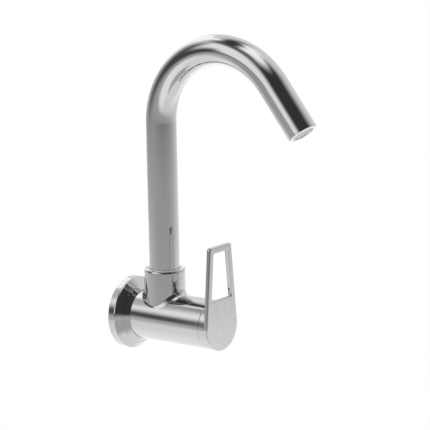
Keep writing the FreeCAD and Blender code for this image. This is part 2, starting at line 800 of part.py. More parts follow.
def spout_tube():
    """Bent tube: a straight riser, one round bend and a straight end."""
    body = new_body("spout_tube", "up_riser")
    bend_r, bend_z = get("bend_radius"), get("bend_height")
    end_x = bend_side + tube_end * sine(sweep)
    end_z = bend_end_height + tube_end * cosine(sweep)
    path = new_sketch(body, "path", "XZ_Plane")
    whole = Part.Circle(Vector(bend_r.value, bend_z.value, 0), Vector(0, 0, 1), bend_r.value)
    bend_end = Vector(bend_side.value, bend_end_height.value, 0)
    path.addGeometry([
        Part.LineSegment(Vector(0, tube_bottom.value, 0), Vector(0, bend_z.value, 0)),
        Part.ArcOfCircle(whole, math.pi - math.radians(sweep.value), math.pi),
        Part.LineSegment(bend_end, Vector(end_x.value, end_z.value, 0)),
    ], False)
    path.addConstraint(Sketcher.Constraint("Coincident", 0, 2, 1, 2))
    path.addConstraint(Sketcher.Constraint("Coincident", 1, 1, 2, 1))
    pin(path, 0, 1, ZERO, tube_bottom)
    pin(path, 0, 2, ZERO, bend_z)
    pin(path, 2, 1, bend_side, bend_end_height)
    pin(path, 2, 2, end_x, end_z)
    limit(path, Sketcher.Constraint("Radius", 1, bend_r.value), bend_r)
    section = new_sketch(body, "section", "XY_Plane", tube_bottom)
    circle(section, ZERO, ZERO, tube_r)
    circle(section, ZERO, ZERO, tube_inner_r)
    doc.recompute()
    pipe = body.newObject("PartDesign::AdditivePipe", "spout_tube_pipe")
    pipe.Profile = section
    pipe.Spine = (path, ["Edge1", "Edge2", "Edge3"])
    settle(pipe)
    length = bend_z.value - tube_bottom.value + bend_r.value * math.radians(sweep.value) + tube_end.value
    expected = math.pi * (tube_r.value ** 2 - tube_inner_r.value ** 2) * length
    if abs(pipe.Shape.Volume / expected - 1) > 0.001:
        raise RuntimeError("the spout tube's volume is not its section times its length")


def spout_spigot():
    """Turned spigot soldered into the tube: shoulder, O-ring grooves and the retaining groove."""
    body = new_body("spout_spigot", "up_riser")
    seal_r = spigot_r - get("o_ring_section") + get("running_gap")
    holding_r = spigot_r - get("retaining_groove_depth")
    top = tube_bottom + get("spigot_insert")
    corners = [(spigot_inner_r, spigot_bottom), (spigot_r, spigot_bottom)]
    for start, width, radius in ((lower_groove, seal_groove, seal_r),
                                 (holding_groove, get("retaining_groove_width"), holding_r),
                                 (upper_groove, seal_groove, seal_r)):
        end = start + width
        corners += [(spigot_r, start), (radius, start), (radius, end), (spigot_r, end)]
    corners += [(spigot_r, shoulder_bottom), (tube_r, shoulder_bottom), (tube_r, tube_bottom),
                (tube_inner_r, tube_bottom), (tube_inner_r, top), (spigot_inner_r, top)]
    turned(body, "spigot", corners)


def spout_o_rings():
    o_rings("spout_o_rings", "up_riser", spigot_r, "z",
            [start + seal_groove / 2 for start in (lower_groove, upper_groove)])


def outlet_bush():
    """Brass bush soldered into the spout's end, with the seat for the aerator's washer."""
    body = new_body("outlet_bush", "down_outlet")
    turned(body, "bush", [(washer_inner_r, outlet_bush_top), (tube_inner_r, outlet_bush_top),
                          (tube_inner_r, tube_end), (sleeve_r, tube_end), (sleeve_r, washer_top),
                          (washer_inner_r, washer_top)])


def aerator_washer():
    """Flat rubber ring between the outlet's seat and the aerator."""
    body = new_body("aerator_washer", "down_outlet")
    ring(body, "ring", washer_inner_r, sleeve_r, washer_top, sleeve_top)


def aerator_screen():
    """Strainer disc on top of the flow former."""
    body = new_body("aerator_screen", "down_outlet")
    ring(body, "disc", ZERO, sleeve_inner_r, sleeve_top, insert_top)
    water_holes(body, "mesh", insert_top, get("screen_thickness"))


def aerator_insert():
    """Plastic flow former with two rings of water channels."""
    body = new_body("aerator_insert", "down_outlet")
    ring(body, "core", ZERO, sleeve_inner_r, insert_top, insert_bottom)
    water_holes(body, "channel", insert_bottom, insert_bottom - insert_top)


def water_holes(body, name, face, depth):
    """Two rings of round holes through a disc, drilled from its lower face."""
    for row_name in ("outer", "inner"):
        sketch = new_sketch(body, f"{row_name}_{name}", "XY_Plane", face)
        circle(sketch, sleeve_inner_r * get(f"insert_{row_name}_share"), ZERO, get("insert_hole") / 2)
        hole = extruded(body, f"{row_name}_{name}", sketch, depth, cut=True)
        repeated(body, hole, f"{row_name}_{name}_row", get(f"insert_{row_name}_holes"))


def aerator_housing():
    """Chromed shell of the aerator: a sleeve inside the tube and a rounded lip below it."""
    body = new_body("aerator_housing", "down_outlet")
    shell = turned(body, "shell", [(sleeve_inner_r, sleeve_top), (sleeve_r, sleeve_top), (sleeve_r, tube_end),
                                   (tube_r, tube_end), (tube_r, spout_end), (sleeve_inner_r, spout_end)])
    dressed(body, "Fillet", "lip", shell, rim_at(tube_r, spout_end), get("aerator_lip_round"))


MAKERS = (
    tap_body, wall_flange, headwork_housing, headwork_gasket, seat_seal, fixed_disc, thrust_washer,
    swivel_bush, spout_retaining_screw, lever_handle, spline_bush, handle_screw, spindle, moving_disc,
    spindle_o_rings, spindle_clip, spout_tube, spout_spigot, spout_o_rings, outlet_bush, aerator_washer,
    aerator_screen, aerator_insert, aerator_housing,
)


def check():
    """Stops before anything is written if an object failed or a piece is not a sound solid."""
    failed = [item.Name for item in doc.Objects if {"Invalid", "Error"} & set(item.State)]
    if failed:
        raise RuntimeError(f"failed objects: {failed}")
    for piece in pieces:
        shape = piece.Shape
        if shape.isNull() or not shape.isValid() or not shape.Solids:
            raise RuntimeError(f"{piece.Label} is not a sound solid")


def write():
    os.makedirs("parts", exist_ok=True)
    for piece in pieces:
        piece.Shape.exportStep(f"parts/{piece.Label}.step")
        print(f"{piece.Label}: {len(piece.Shape.Solids)} solid, {piece.Shape.Volume:.1f} mm3")


for make in MAKERS:
    make()
doc.recompute()
check()
write()
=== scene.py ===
"""Skin, finishes and studio of a wall-mounted sink tap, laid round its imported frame.

Lengths are metres. The wall is the plane Y = 0, the tap stands out of it along -Y and +Z is up.
"""

import json
import math

import bmesh
import bpy
from mathutils import Matrix, Vector


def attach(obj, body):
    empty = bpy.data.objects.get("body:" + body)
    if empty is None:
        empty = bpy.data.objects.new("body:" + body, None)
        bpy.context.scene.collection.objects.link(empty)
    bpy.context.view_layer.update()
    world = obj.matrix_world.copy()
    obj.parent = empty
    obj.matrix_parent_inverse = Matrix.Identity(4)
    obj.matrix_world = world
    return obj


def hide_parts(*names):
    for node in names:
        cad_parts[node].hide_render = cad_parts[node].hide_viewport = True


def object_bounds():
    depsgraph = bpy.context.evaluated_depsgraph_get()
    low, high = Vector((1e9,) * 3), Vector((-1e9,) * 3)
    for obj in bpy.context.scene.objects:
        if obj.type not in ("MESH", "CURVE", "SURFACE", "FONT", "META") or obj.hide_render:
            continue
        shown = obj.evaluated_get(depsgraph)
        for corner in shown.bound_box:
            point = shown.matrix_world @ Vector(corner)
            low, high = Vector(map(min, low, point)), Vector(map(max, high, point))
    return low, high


bl_info = {
    "name": "Wall-mounted sink tap",
    "version": (1, 0, 0),
    "blender": (4, 5, 0),
    "location": "View3D > Sidebar > Sink tap",
    "description": "Builds the chromed skin of a wall-mounted sink tap and the studio it stands in",
    "category": "Mesh",
}

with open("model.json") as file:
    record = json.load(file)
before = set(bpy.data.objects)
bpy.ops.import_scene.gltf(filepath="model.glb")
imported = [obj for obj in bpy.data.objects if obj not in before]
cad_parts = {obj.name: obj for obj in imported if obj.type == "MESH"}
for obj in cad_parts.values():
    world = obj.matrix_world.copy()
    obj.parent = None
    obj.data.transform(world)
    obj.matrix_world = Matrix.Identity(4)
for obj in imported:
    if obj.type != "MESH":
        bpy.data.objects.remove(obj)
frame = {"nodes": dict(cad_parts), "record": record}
CAD_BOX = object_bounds()

TURN = 2 * math.pi
UP = Vector((0, 0, 1))
# Points closer than this are one point, and a point closer than the second to a round wall lies on it
NEAR = 2e-6
ON_WALL = 0.0001
# Small roundings: of a seam between two pieces, of an edge and of a wider edge
SEAM_ROUND = 0.00005
EDGE_ROUND = 0.0001
WIDE_EDGE_ROUND = 0.0002
# Faces that meet at more than the first angle are shaded apart, and at more than the second are a corner
SHARP_ANGLE = math.radians(35)
CORNER_ANGLE = math.radians(60)
# From the tap's lowest point down to the floor
FLOOR_DROP = 0.17
# Vertex layers: a vertex's true facing, where it is known, and the number of its spoke
FACING = "facing"
SPOKE = "spoke"


def length(name, description, default):
    return bpy.props.FloatProperty(name=name, description=description, default=default,
                                   unit="LENGTH", precision=5)


def angle(name, description, degrees):
    return bpy.props.FloatProperty(name=name, description=description,
                                   default=math.radians(degrees), subtype="ANGLE")


def colour(name, description, default):
    return bpy.props.FloatVectorProperty(name=name, description=description, default=default,
                                         subtype="COLOR", size=3, min=0, max=1)


def share(name, description, default):
    return bpy.props.FloatProperty(name=name, description=description, default=default,
                                   subtype="FACTOR", min=0, max=1)


def amount(name, description, default):
    return bpy.props.FloatProperty(name=name, description=description, default=default)


class SpoutSizes(bpy.types.PropertyGroup):
    """The bent tube and its outlet."""

    tube_radius: length("Tube radius", "Outer radius of the spout tube", 0.0125)
    tube_wall: length("Tube wall", "Wall of the spout tube", 0.0013)
    riser_distance: length("Riser distance", "From the wall to the riser's axis", 0.037)
    tube_bottom: length("Tube bottom", "Height of the tube's lower end in the collar", 0.03736)
    bend_height: length("Bend height", "Height at which the bend starts", 0.164)
    bend_radius: length("Bend radius", "Radius of the bend's centre line", 0.064)
    bend_sweep: angle("Bend sweep", "How far the bend turns", 142)
    tube_end: length("Tube end", "Straight tube after the bend", 0.0393)
    outlet_end: length("Outlet end", "From the bend to the outlet's lip", 0.0458)
    lip_round: length("Lip round", "Rounding of the outlet's lip", 0.0009)
    sleeve_top: length("Sleeve top", "From the bend to the top of the aerator's sleeve", 0.0321)
    sleeve_radius: length("Sleeve radius", "Outer radius of the aerator's sleeve", 0.01)
    former_radius: length("Flow former radius", "Outer radius of the flow former", 0.009)
    former_top: length("Flow former top", "From the bend to the flow former's upper face", 0.0326)
    former_bottom: length("Flow former bottom", "From the bend to the flow former's lower face", 0.0452)
    channel_radius: length("Channel radius", "Radius of a water channel", 0.00075)


class BodySizes(bpy.types.PropertyGroup):
    """The barrel with its collar, inlet and bores."""

    barrel_radius: length("Barrel radius", "Outer radius of the barrel", 0.0205)
    barrel_back: length("Barrel back", "From the wall to the barrel's back face", 0.012)
    barrel_front: length("Barrel front", "From the wall to the barrel's front face", 0.086)
    front_round: length("Front round", "Rounding of the barrel's front edge", 0.0002)
    front_bore: length("Front bore", "Radius of the bore behind the lever", 0.0165)
    bushing_front: length("Bushing front", "From the wall to the headwork's seat", 0.061)
    bushing_back: length("Bushing back", "From the wall to the end of the headwork's thread", 0.05)
    bushing_radius: length("Bushing radius", "Radius of the headwork's thread", 0.012)
    chamber_radius: length("Chamber radius", "Radius of the valve chamber", 0.0145)
    chamber_back: length("Chamber back", "From the wall to the valve seat", 0.026)
    neck_radius: length("Neck radius", "Radius of the neck in the flange", 0.0129775)
    inlet_radius: length("Inlet radius", "Radius of the inlet bore", 0.0065155)
    thread_radius: length("Thread radius", "Crest radius of the inlet thread", 0.0104775)
    thread_depth: length("Thread depth", "From the thread's crest to its root", 0.001162)
    thread_pitch: length("Thread pitch", "Pitch of the inlet thread", 0.001814)
    thread_relief: length("Thread relief", "Plain length before the first turn", 0.0014)
    thread_lead_in: length("Thread lead-in", "Plain length after the last turn", 0.001)
    collar_radius: length("Collar radius", "Outer radius of the spout's collar", 0.017)
    collar_top: length("Collar top", "Height of the collar's top face", 0.0415)
    rim_depth: length("Collar rim depth", "How far the collar's rounded rim reaches inwards", 0.0008)
    rim_drop: length("Collar rim drop", "How far the collar's rounded rim reaches down", 0.002)
    saddle_front: length("Saddle front", "Fillet between the collar and the barrel, in front", 0.005)
    saddle_side: length("Saddle side", "Fillet between the collar and the barrel, at the sides", 0.0065)
    saddle_back: length("Saddle back", "Fillet between the collar and the barrel, at the back", 0.003)
    seat_radius: length("Seat radius", "Radius of the swivel ring's seat", 0.01456)
    socket_radius: length("Socket radius", "Radius of the spout's socket", 0.01106)
    socket_floor: length("Socket floor", "Height of the socket's floor", 0.0228)
    ring_bottom: length("Ring bottom", "Height of the swivel ring's lower face", 0.0341)
    ring_top: length("Ring top", "Height of the swivel ring's upper face", 0.04144)
    ring_bore: length("Ring bore", "Inner radius of the swivel ring", 0.01256)
    ring_flange: length("Ring flange", "Thickness of the swivel ring's inner flange", 0.0012)
    screw_height: length("Screw height", "Height of the collar's set screw", 0.0286)
    screw_radius: length("Screw radius", "Radius of the collar's screw hole", 0.0025)


class FlangeSizes(bpy.types.PropertyGroup):
    """The cup that hides the hole in the wall."""

    rim_radius: length("Rim radius", "Outer radius of the flange", 0.03)
    rim_wall: length("Rim wall", "Wall of the flange", 0.0015)
    face: length("Face", "From the wall to the outer edge of the face", 0.0064)
    hub_foot: length("Hub foot", "From the wall to the inner edge of the face", 0.0115)
    hub_front: length("Hub front", "From the wall to the hub's front", 0.0155)
    step_radius: length("Step radius", "Inner radius of the face", 0.0249)
    hub_radius: length("Hub radius", "Radius of the hub at its foot", 0.0243)
    lip_radius: length("Lip radius", "Radius of the hub at its front", 0.0208)
    hub_bore: length("Hub bore", "Radius of the recess for the barrel", 0.02056)
    web_front: length("Web front", "From the wall to the web's front", 0.012)
    neck_hole: length("Neck hole", "Radius of the hole for the neck", 0.0130375)
    rim_round: length("Rim round", "Setback of the rim's rounding", 0.00066)
    hub_round: length("Hub round", "Setback of the rounding of the hub's front", 0.0001)


class LeverSizes(bpy.types.PropertyGroup):
    """The windowed lever and its round cap."""

    cap_radius: length("Cap radius", "Radius of the cap and of the plate's round end", 0.0205)
    cap_bore: length("Cap bore", "Inner radius of the cap's skirt", 0.0179)
    cap_back: length("Cap back", "From the wall to the skirt's edge", 0.08616)
    plate_back: length("Plate back", "From the wall to the plate's back", 0.0919)
    plate_front: length("Plate front", "From the wall to the plate's front", 0.0957)
    plate_round: length("Plate round", "Rounding of the plate's edges", 0.0012)
    height: length("Height", "Height of the plate's top above the barrel's axis", 0.0674)
    top_half: length("Top half-width", "Half of the plate's width at its top", 0.0143)
    top_corner: length("Top corner", "Radius of the plate's top corners", 0.0026)
    side_bar: length("Side bar", "Width of the bars beside the window", 0.0057)
    window_top: length("Window top", "Height of the window's top", 0.0618)
    window_bottom: length("Window bottom", "Height of the window's sill", 0.0229)
    window_corner: length("Window corner", "Radius of the window's corners", 0.0014)
    hub_radius: length("Hub radius", "Outer radius of the hub in the cap", 0.01)
    hub_bore: length("Hub bore", "Bore of the hub in the cap", 0.007)
    hub_back: length("Hub back", "From the wall to the hub's end", 0.07606)
    screw_distance: length("Screw distance", "From the wall to the set screw", 0.08915)
    screw_radius: length("Screw radius", "Radius of the set screw's hole", 0.002)
    key_radius: length("Key hole radius", "Radius of the key hole in the skirt", 0.0023)


class Finishes(bpy.types.PropertyGroup):
    """Colours and gloss of the finishes."""

    chrome: colour("Chrome", "Reflectance of the chrome plate", (0.549, 0.556, 0.56))
    chrome_gloss: share("Chrome roughness", "Roughness of clean chrome", 0.035)
    brass: colour("Brass", "Reflectance of turned brass", (0.72, 0.5, 0.2))
    steel: colour("Steel", "Reflectance of the screws and clips", (0.5, 0.5, 0.5))
    rubber: colour("Rubber", "Colour of the seals", (0.02, 0.02, 0.021))
    bearing: colour("Bearing plastic", "Colour of the plastic bushes", (0.72, 0.72, 0.68))
    former: colour("Flow former", "Colour of the aerator's plastic", (0.56, 0.57, 0.58))
    ceramic: colour("Ceramic", "Colour of the valve discs", (0.76, 0.74, 0.69))


class StageSettings(bpy.types.PropertyGroup):
    """Camera and floor."""

    azimuth: angle("Azimuth", "Camera's turn from straight in front", -52.369)
    elevation: angle("Elevation", "Camera's height above the level", 12.26)
    roll: angle("Roll", "Camera's turn about its own axis", -1.178)
    distance: length("Distance", "From the camera to its aim", 2.48247)
    aim_across: length("Aim across", "Aim to the right of the origin, across the view", 0.071575)
    aim_height: length("Aim height", "Height of the aim", 0.08013)
    focal: amount("Focal length", "Focal length in millimetres", 251.163)
    floor_height: length("Floor height", "Height of the floor", CAD_BOX[0][2] - FLOOR_DROP)
    floor_radius: length("Floor radius", "Radius of the floor", 6.0)
    shadow_reach: length("Shadow reach", "Radius within which the floor shows shadows", 0.5)


GROUPS = {
    "tap_spout": SpoutSizes,
    "tap_body": BodySizes,
    "tap_flange": FlangeSizes,
    "tap_lever": LeverSizes,
    "tap_finishes": Finishes,
    "tap_stage": StageSettings,
}


def out_of_wall():
    """Turns a piece made about its own Z axis to point out of the wall."""
    return Matrix.Rotation(math.radians(90), 4, "X")


def down_outlet(spout):
    """Frame at the bend's end, with Z down the straight outlet."""
    out = spout.bend_radius * (1 - math.cos(spout.bend_sweep)) + spout.riser_distance
    height = spout.bend_height + spout.bend_radius * math.sin(spout.bend_sweep)
    return Matrix.Translation((0, -out, height)) @ Matrix.Rotation(spout.bend_sweep, 4, "X")


def line(start, end, count):
    """Points from a start up to, but not at, an end."""
    return [tuple(a + (b - a) * i / count for a, b in zip(start, end)) for i in range(count)]


def rows_about(middle, half, steps):
    """Evenly spaced places from a half-width before a middle to a half-width after it."""
    return [middle + half * (i / steps - 1) for i in range(2 * steps + 1)]


def turned(corners, steps):
    """Spins a closed half section of (radius, distance) corners about the Z axis."""
    bm = bmesh.new()
    verts = [bm.verts.new((radius, 0, distance)) for radius, distance in corners]
    edges = [bm.edges.new(pair) for pair in zip(verts, verts[1:] + verts[:1])]
    bmesh.ops.spin(bm, geom=verts + edges, cent=(0, 0, 0), axis=(0, 0, 1), angle=TURN, steps=steps,
                   use_merge=True)
    bmesh.ops.remove_doubles(bm, verts=bm.verts, dist=NEAR)
    bmesh.ops.recalc_face_normals(bm, faces=bm.faces)
    return bm


def rim(bm, radius, distance, place=Matrix()):
    """The circle of edges at a radius from the Z axis of a place and a distance along it."""
    to_axis = place.inverted()

    def on_rim(vert):
        point = to_axis @ vert.co
        return abs(point.xy.length - radius) < NEAR and abs(point.z - distance) < NEAR

    edges = [edge for edge in bm.edges if all(on_rim(vert) for vert in edge.verts)]
    if not edges:
        raise RuntimeError(f"no rim at radius {radius:.5f}, distance {distance:.5f}")
    return edges


def rounded(bm, edges, setback, segments):
    bmesh.ops.bevel(bm, geom=edges, offset=setback, offset_type="OFFSET", affect="EDGES",
                    segments=segments, profile=0.5, material=-1, clamp_overlap=False)


def next_loop(bm, edges):
    """Extrudes a loop of edges in place and returns the new loop and its vertices."""
    grown = bmesh.ops.extrude_edge_only(bm, edges=edges)["geom"]
    verts = [item for item in grown if isinstance(item, bmesh.types.BMVert)]
    fresh = set(verts)
    edges = [item for item in grown if isinstance(item, bmesh.types.BMEdge)]
    return [edge for edge in edges if fresh.issuperset(edge.verts)], verts


def spoke_loops(bm, spokes, count, rules, cap_ends=False):
    """Numbers the spokes of a circle and gives each rule a loop of them, drawn from the one before."""
    bmesh.ops.create_circle(bm, cap_ends=cap_ends, radius=1, segments=count)
    bm.verts.ensure_lookup_table()
    for i, vert in enumerate(bm.verts):
        vert[spokes] = i
    loop, verts = list(bm.edges), list(bm.verts)
    for step, rule in enumerate(rules):
        if step:
            loop, verts = next_loop(bm, loop)
        yield rule, verts


def border_of(faces):
    """Edges round a patch of faces."""
    patch = set(faces)
    edges = {edge for face in faces for edge in face.edges}
    return [edge for edge in edges if len(patch.intersection(edge.link_faces)) == 1]


def open_patch(bm, faces, to_hole):
    """Cuts a patch of faces out and draws its border in to the edge of a round hole."""
    if not faces:
        raise RuntimeError("no faces where the hole goes")
    border = border_of(faces)
    bmesh.ops.delete(bm, geom=faces, context="FACES")
    loop, verts = next_loop(bm, border)
    for vert in verts:
        vert.co = to_hole(vert.co)
    return loop, verts


def joined(first, *others):
    """Adds the other meshes to the first one."""
    for other in others:
        carrier = bpy.data.meshes.new("carrier")
        other.to_mesh(carrier)
        other.free()
        first.from_mesh(carrier)
        bpy.data.meshes.remove(carrier)
    return first


def use_facing(mesh):
    """Gives vertices whose true facing is known that normal, and leaves the rest as they are."""
    facing = mesh.attributes.get(FACING)
    if facing is None:
        return
    normals = [item.vector.copy() for item in facing.data]
    mesh.attributes.remove(facing)
    mesh.normals_split_custom_set_from_vertices(normals)


def add_piece(bm, name, body, node, slot, place):
    """Turns a mesh into a piece that rides on a body and stands for a node of the frame."""
    bmesh.ops.transform(bm, matrix=place, verts=bm.verts)
    mesh = bpy.data.meshes.new(name)
    bm.to_mesh(mesh)
    bm.free()
    mesh.polygons.foreach_set("use_smooth", [True] * len(mesh.polygons))
    mesh.set_sharp_from_angle(angle=SHARP_ANGLE)
    use_facing(mesh)
    mesh.materials.append(finish(slot))
    piece = bpy.data.objects.new(name, mesh)
    bpy.context.scene.collection.objects.link(piece)
    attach(piece, body)
    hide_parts(node)
    return piece


def even_faces(piece):
    """Keeps broad faces flat beside their roundings."""
    weighting = piece.modifiers.new("even_faces", "WEIGHTED_NORMAL")
    weighting.mode = "FACE_AREA"
    weighting.keep_sharp = True


# Finishes


def add_node(tree, kind, inputs=None, **settings):
    """Adds a shader node. An input is a constant or the output that feeds it."""
    node = tree.nodes.new(kind)
    for name, value in settings.items():
        setattr(node, name, value)
    for name, value in (inputs or {}).items():
        if isinstance(value, bpy.types.NodeSocket):
            tree.links.new(value, node.inputs[name])
        else:
            node.inputs[name].default_value = value
    return node


class Recipe:
    """A procedural material under construction."""

    def __init__(self, name):
        self.material = bpy.data.materials.new(name)
        self.material.use_nodes = True
        self.tree = self.material.node_tree
        self.shader = self.tree.nodes["Principled BSDF"]
        self.place = add_node(self.tree, "ShaderNodeTexCoord").outputs["Object"]

    def feed(self, source, name):
        self.tree.links.new(source, self.shader.inputs[name])

    def noise(self, scale, detail, stretch=None):
        place = self.place
        if stretch:
            mapping = add_node(self.tree, "ShaderNodeMapping", {"Vector": place, "Scale": stretch})
            place = mapping.outputs["Vector"]
        inputs = {"Vector": place, "Scale": scale, "Detail": detail}
        return add_node(self.tree, "ShaderNodeTexNoise", inputs).outputs["Fac"]

    def spread(self, source, low, high, start=0.3, end=0.7):
        inputs = {"Value": source, "From Min": start, "From Max": end, "To Min": low, "To Max": high}
        return add_node(self.tree, "ShaderNodeMapRange", inputs).outputs["Result"]

    def tint(self, source, one, two):
        inputs = {"Factor": source, "A": (*one, 1), "B": (*two, 1)}
        node = add_node(self.tree, "ShaderNodeMix", inputs, data_type="RGBA")
        self.feed(node.outputs["Result"], "Base Color")

    def rough(self, source):
        self.feed(source, "Roughness")

    def bump(self, source, strength, depth):
        inputs = {"Height": source, "Strength": strength, "Distance": depth}
        self.feed(add_node(self.tree, "ShaderNodeBump", inputs).outputs["Normal"], "Normal")


def shaded(base, factor):
    return tuple(min(1, part * factor) for part in base)


def chrome_plate(finishes):
    """Polished chrome: faint wipe marks and dried drops change its gloss a little."""
    recipe = Recipe("polished_chrome")
    recipe.shader.inputs["Metallic"].default_value = 1
    cloud = recipe.noise(scale=22, detail=4)
    recipe.tint(recipe.spread(cloud, low=0, high=1), finishes.chrome, shaded(finishes.chrome, factor=0.965))
    wipes = recipe.noise(scale=240, detail=5, stretch=(1, 1, 0.12))
    clean, wiped = finishes.chrome_gloss, finishes.chrome_gloss + 0.03
    recipe.rough(recipe.spread(wipes, low=clean, high=wiped, start=0.35, end=0.8))
    return recipe.material


def turned_metal(name, base, roughness):
    """Plain turned metal with fine tool rings."""
    recipe = Recipe(name)
    recipe.shader.inputs["Metallic"].default_value = 1
    recipe.tint(recipe.noise(scale=90, detail=4), base, shaded(base, factor=0.82))
    rings = recipe.noise(scale=1500, detail=3, stretch=(0.2, 1, 0.2))
    recipe.rough(recipe.spread(rings, low=roughness, high=roughness + 0.15))
    recipe.bump(rings, strength=0.08, depth=0.0001)
    return recipe.material


def moulded(name, base, roughness, grain):
    """Moulded plastic, rubber or lapped ceramic with a fine even grain."""
    recipe = Recipe(name)
    recipe.tint(recipe.noise(scale=160, detail=3), base, shaded(base, factor=0.9))
    fine = recipe.noise(scale=3200, detail=2)
    recipe.rough(recipe.spread(fine, low=roughness, high=min(1, roughness + 0.12)))
    recipe.bump(fine, strength=grain, depth=0.00008)
    return recipe.material


def finish(name):
    """The finished material of a slot of the record, made once."""
    label = f"tap_{name}"
    if label in bpy.data.materials:
        return bpy.data.materials[label]
    finishes = bpy.context.scene.tap_finishes
    makers = {
        "chrome": lambda: chrome_plate(finishes),
        "brass": lambda: turned_metal(label, finishes.brass, roughness=0.24),
        "steel": lambda: turned_metal(label, finishes.steel, roughness=0.28),
        "rubber": lambda: moulded(label, finishes.rubber, roughness=0.62, grain=0.12),
        "bearing_plastic": lambda: moulded(label, finishes.bearing, roughness=0.38, grain=0.06),
        "aerator_plastic": lambda: moulded(label, finishes.former, roughness=0.42, grain=0.06),
        "ceramic": lambda: moulded(label, finishes.ceramic, roughness=0.12, grain=0.02),
    }
    material = makers[name]()
    material.name = label
    return material


# Spout


# Steps round the tube and along the bend, and the short rings that keep the straight runs evenly lit
TUBE_SEGMENTS = 128
BEND_STEPS = 84
GUARD = 0.0004


def bent_tube(spout, radius):
    """Open tube: a ring drawn up the riser, spun round the bend and drawn down the outlet."""
    bm = bmesh.new()
    start = Matrix.Translation((0, -spout.riser_distance, spout.tube_bottom))
    bmesh.ops.create_circle(bm, radius=radius, segments=TUBE_SEGMENTS, matrix=start)
    riser = spout.bend_height - spout.tube_bottom
    down = down_outlet(spout).to_3x3() @ UP

    def draw(edges, direction, reach):
        edges, verts = next_loop(bm, edges)
        bmesh.ops.translate(bm, verts=verts, vec=direction * reach)
        return edges

    loop = draw(list(bm.edges), UP, riser - GUARD)
    loop = draw(loop, UP, GUARD)
    centre = (0, -spout.riser_distance - spout.bend_radius, spout.bend_height)
    verts = list({vert for edge in loop for vert in edge.verts})
    spun = bmesh.ops.spin(bm, geom=loop + verts, cent=centre, axis=(1, 0, 0), angle=spout.bend_sweep,
                          steps=BEND_STEPS)["geom_last"]
    loop = [item for item in spun if isinstance(item, bmesh.types.BMEdge)]
    loop = draw(loop, down, GUARD)
    draw(loop, down, spout.tube_end - GUARD)
    return bm


class TAP_OT_spout_tube(bpy.types.Operator):
    """Draw the bent spout tube"""

    bl_idname = "tap.spout_tube"
    bl_label = "Spout tube"

    def execute(self, context):
        spout = context.scene.tap_spout
        bore = spout.tube_radius - spout.tube_wall
        bm = joined(bent_tube(spout, spout.tube_radius), bent_tube(spout, bore))
        to_outlet = down_outlet(spout).inverted()

        def at_end(edge):
            return all(abs((to_outlet @ vert.co).z - spout.tube_end) < NEAR for vert in edge.verts)

        open_edges = [edge for edge in bm.edges if edge.is_boundary]
        for ends in ([edge for edge in open_edges if at_end(edge)],
                     [edge for edge in open_edges if not at_end(edge)]):
            bmesh.ops.bridge_loops(bm, edges=ends)
        bmesh.ops.recalc_face_normals(bm, faces=bm.faces)

        def on_skin(edge):
            return all((to_outlet @ vert.co).xy.length > spout.tube_radius - NEAR for vert in edge.verts)

        outer = [edge for edge in bm.edges
                 if at_end(edge) and on_skin(edge) and edge.calc_face_angle(0) > CORNER_ANGLE]
        rounded(bm, outer, SEAM_ROUND, segments=2)
        even_faces(add_piece(bm, "bent_spout", "spout", "spout_tube", "chrome", Matrix()))
        return {"FINISHED"}


class TAP_OT_outlet(bpy.types.Operator):
    """Turn the outlet's lip ring and drill the flow former"""

    bl_idname = "tap.outlet"
    bl_label = "Outlet"

    INNER_ROUND = 0.0005
    # Channels in each ring of the flow former, and the ring's share of its radius
    CHANNEL_RINGS = ((14, 0.76), (7, 0.4))

    def execute(self, context):
        spout = context.scene.tap_spout
        place = down_outlet(spout)
        lip = spout.tube_radius
        bm = turned([(spout.former_radius, spout.sleeve_top), (spout.sleeve_radius, spout.sleeve_top),
                     (spout.sleeve_radius, spout.tube_end), (lip, spout.tube_end),
                     (lip, spout.outlet_end), (spout.former_radius, spout.outlet_end)], steps=128)
        rounded(bm, rim(bm, lip, spout.outlet_end), spout.lip_round, segments=8)
        rounded(bm, rim(bm, lip, spout.tube_end), SEAM_ROUND, segments=2)
        rounded(bm, rim(bm, spout.former_radius, spout.outlet_end), self.INNER_ROUND, segments=4)
        even_faces(add_piece(bm, "outlet_lip", "spout", "aerator_housing", "chrome", place))
        former = self.flow_former(spout)
        add_piece(former, "flow_former", "spout", "aerator_insert", "aerator_plastic", place)
        return {"FINISHED"}

    def flow_former(self, spout):
        """A disc with two rings of channels right through it."""
        bm = bmesh.new()
        face = Matrix.Translation((0, 0, spout.former_bottom))
        bmesh.ops.create_circle(bm, radius=spout.former_radius, segments=96, matrix=face)
        for count, reach in self.CHANNEL_RINGS:
            for i in range(count):
                turn = Matrix.Rotation(TURN * i / count, 4, "Z")
                shift = Matrix.Translation((spout.former_radius * reach, 0, 0))
                bmesh.ops.create_circle(bm, radius=spout.channel_radius, segments=20,
                                        matrix=face @ turn @ shift)
        bmesh.ops.triangle_fill(bm, edges=bm.edges, use_beauty=True, normal=(0, 0, 1))
        grown = bmesh.ops.extrude_face_region(bm, geom=bm.faces, use_keep_orig=True)["geom"]
        verts = [item for item in grown if isinstance(item, bmesh.types.BMVert)]
        bmesh.ops.translate(bm, verts=verts, vec=(0, 0, spout.former_top - spout.former_bottom))
        bmesh.ops.recalc_face_normals(bm, faces=bm.faces)
        return bm


# Body


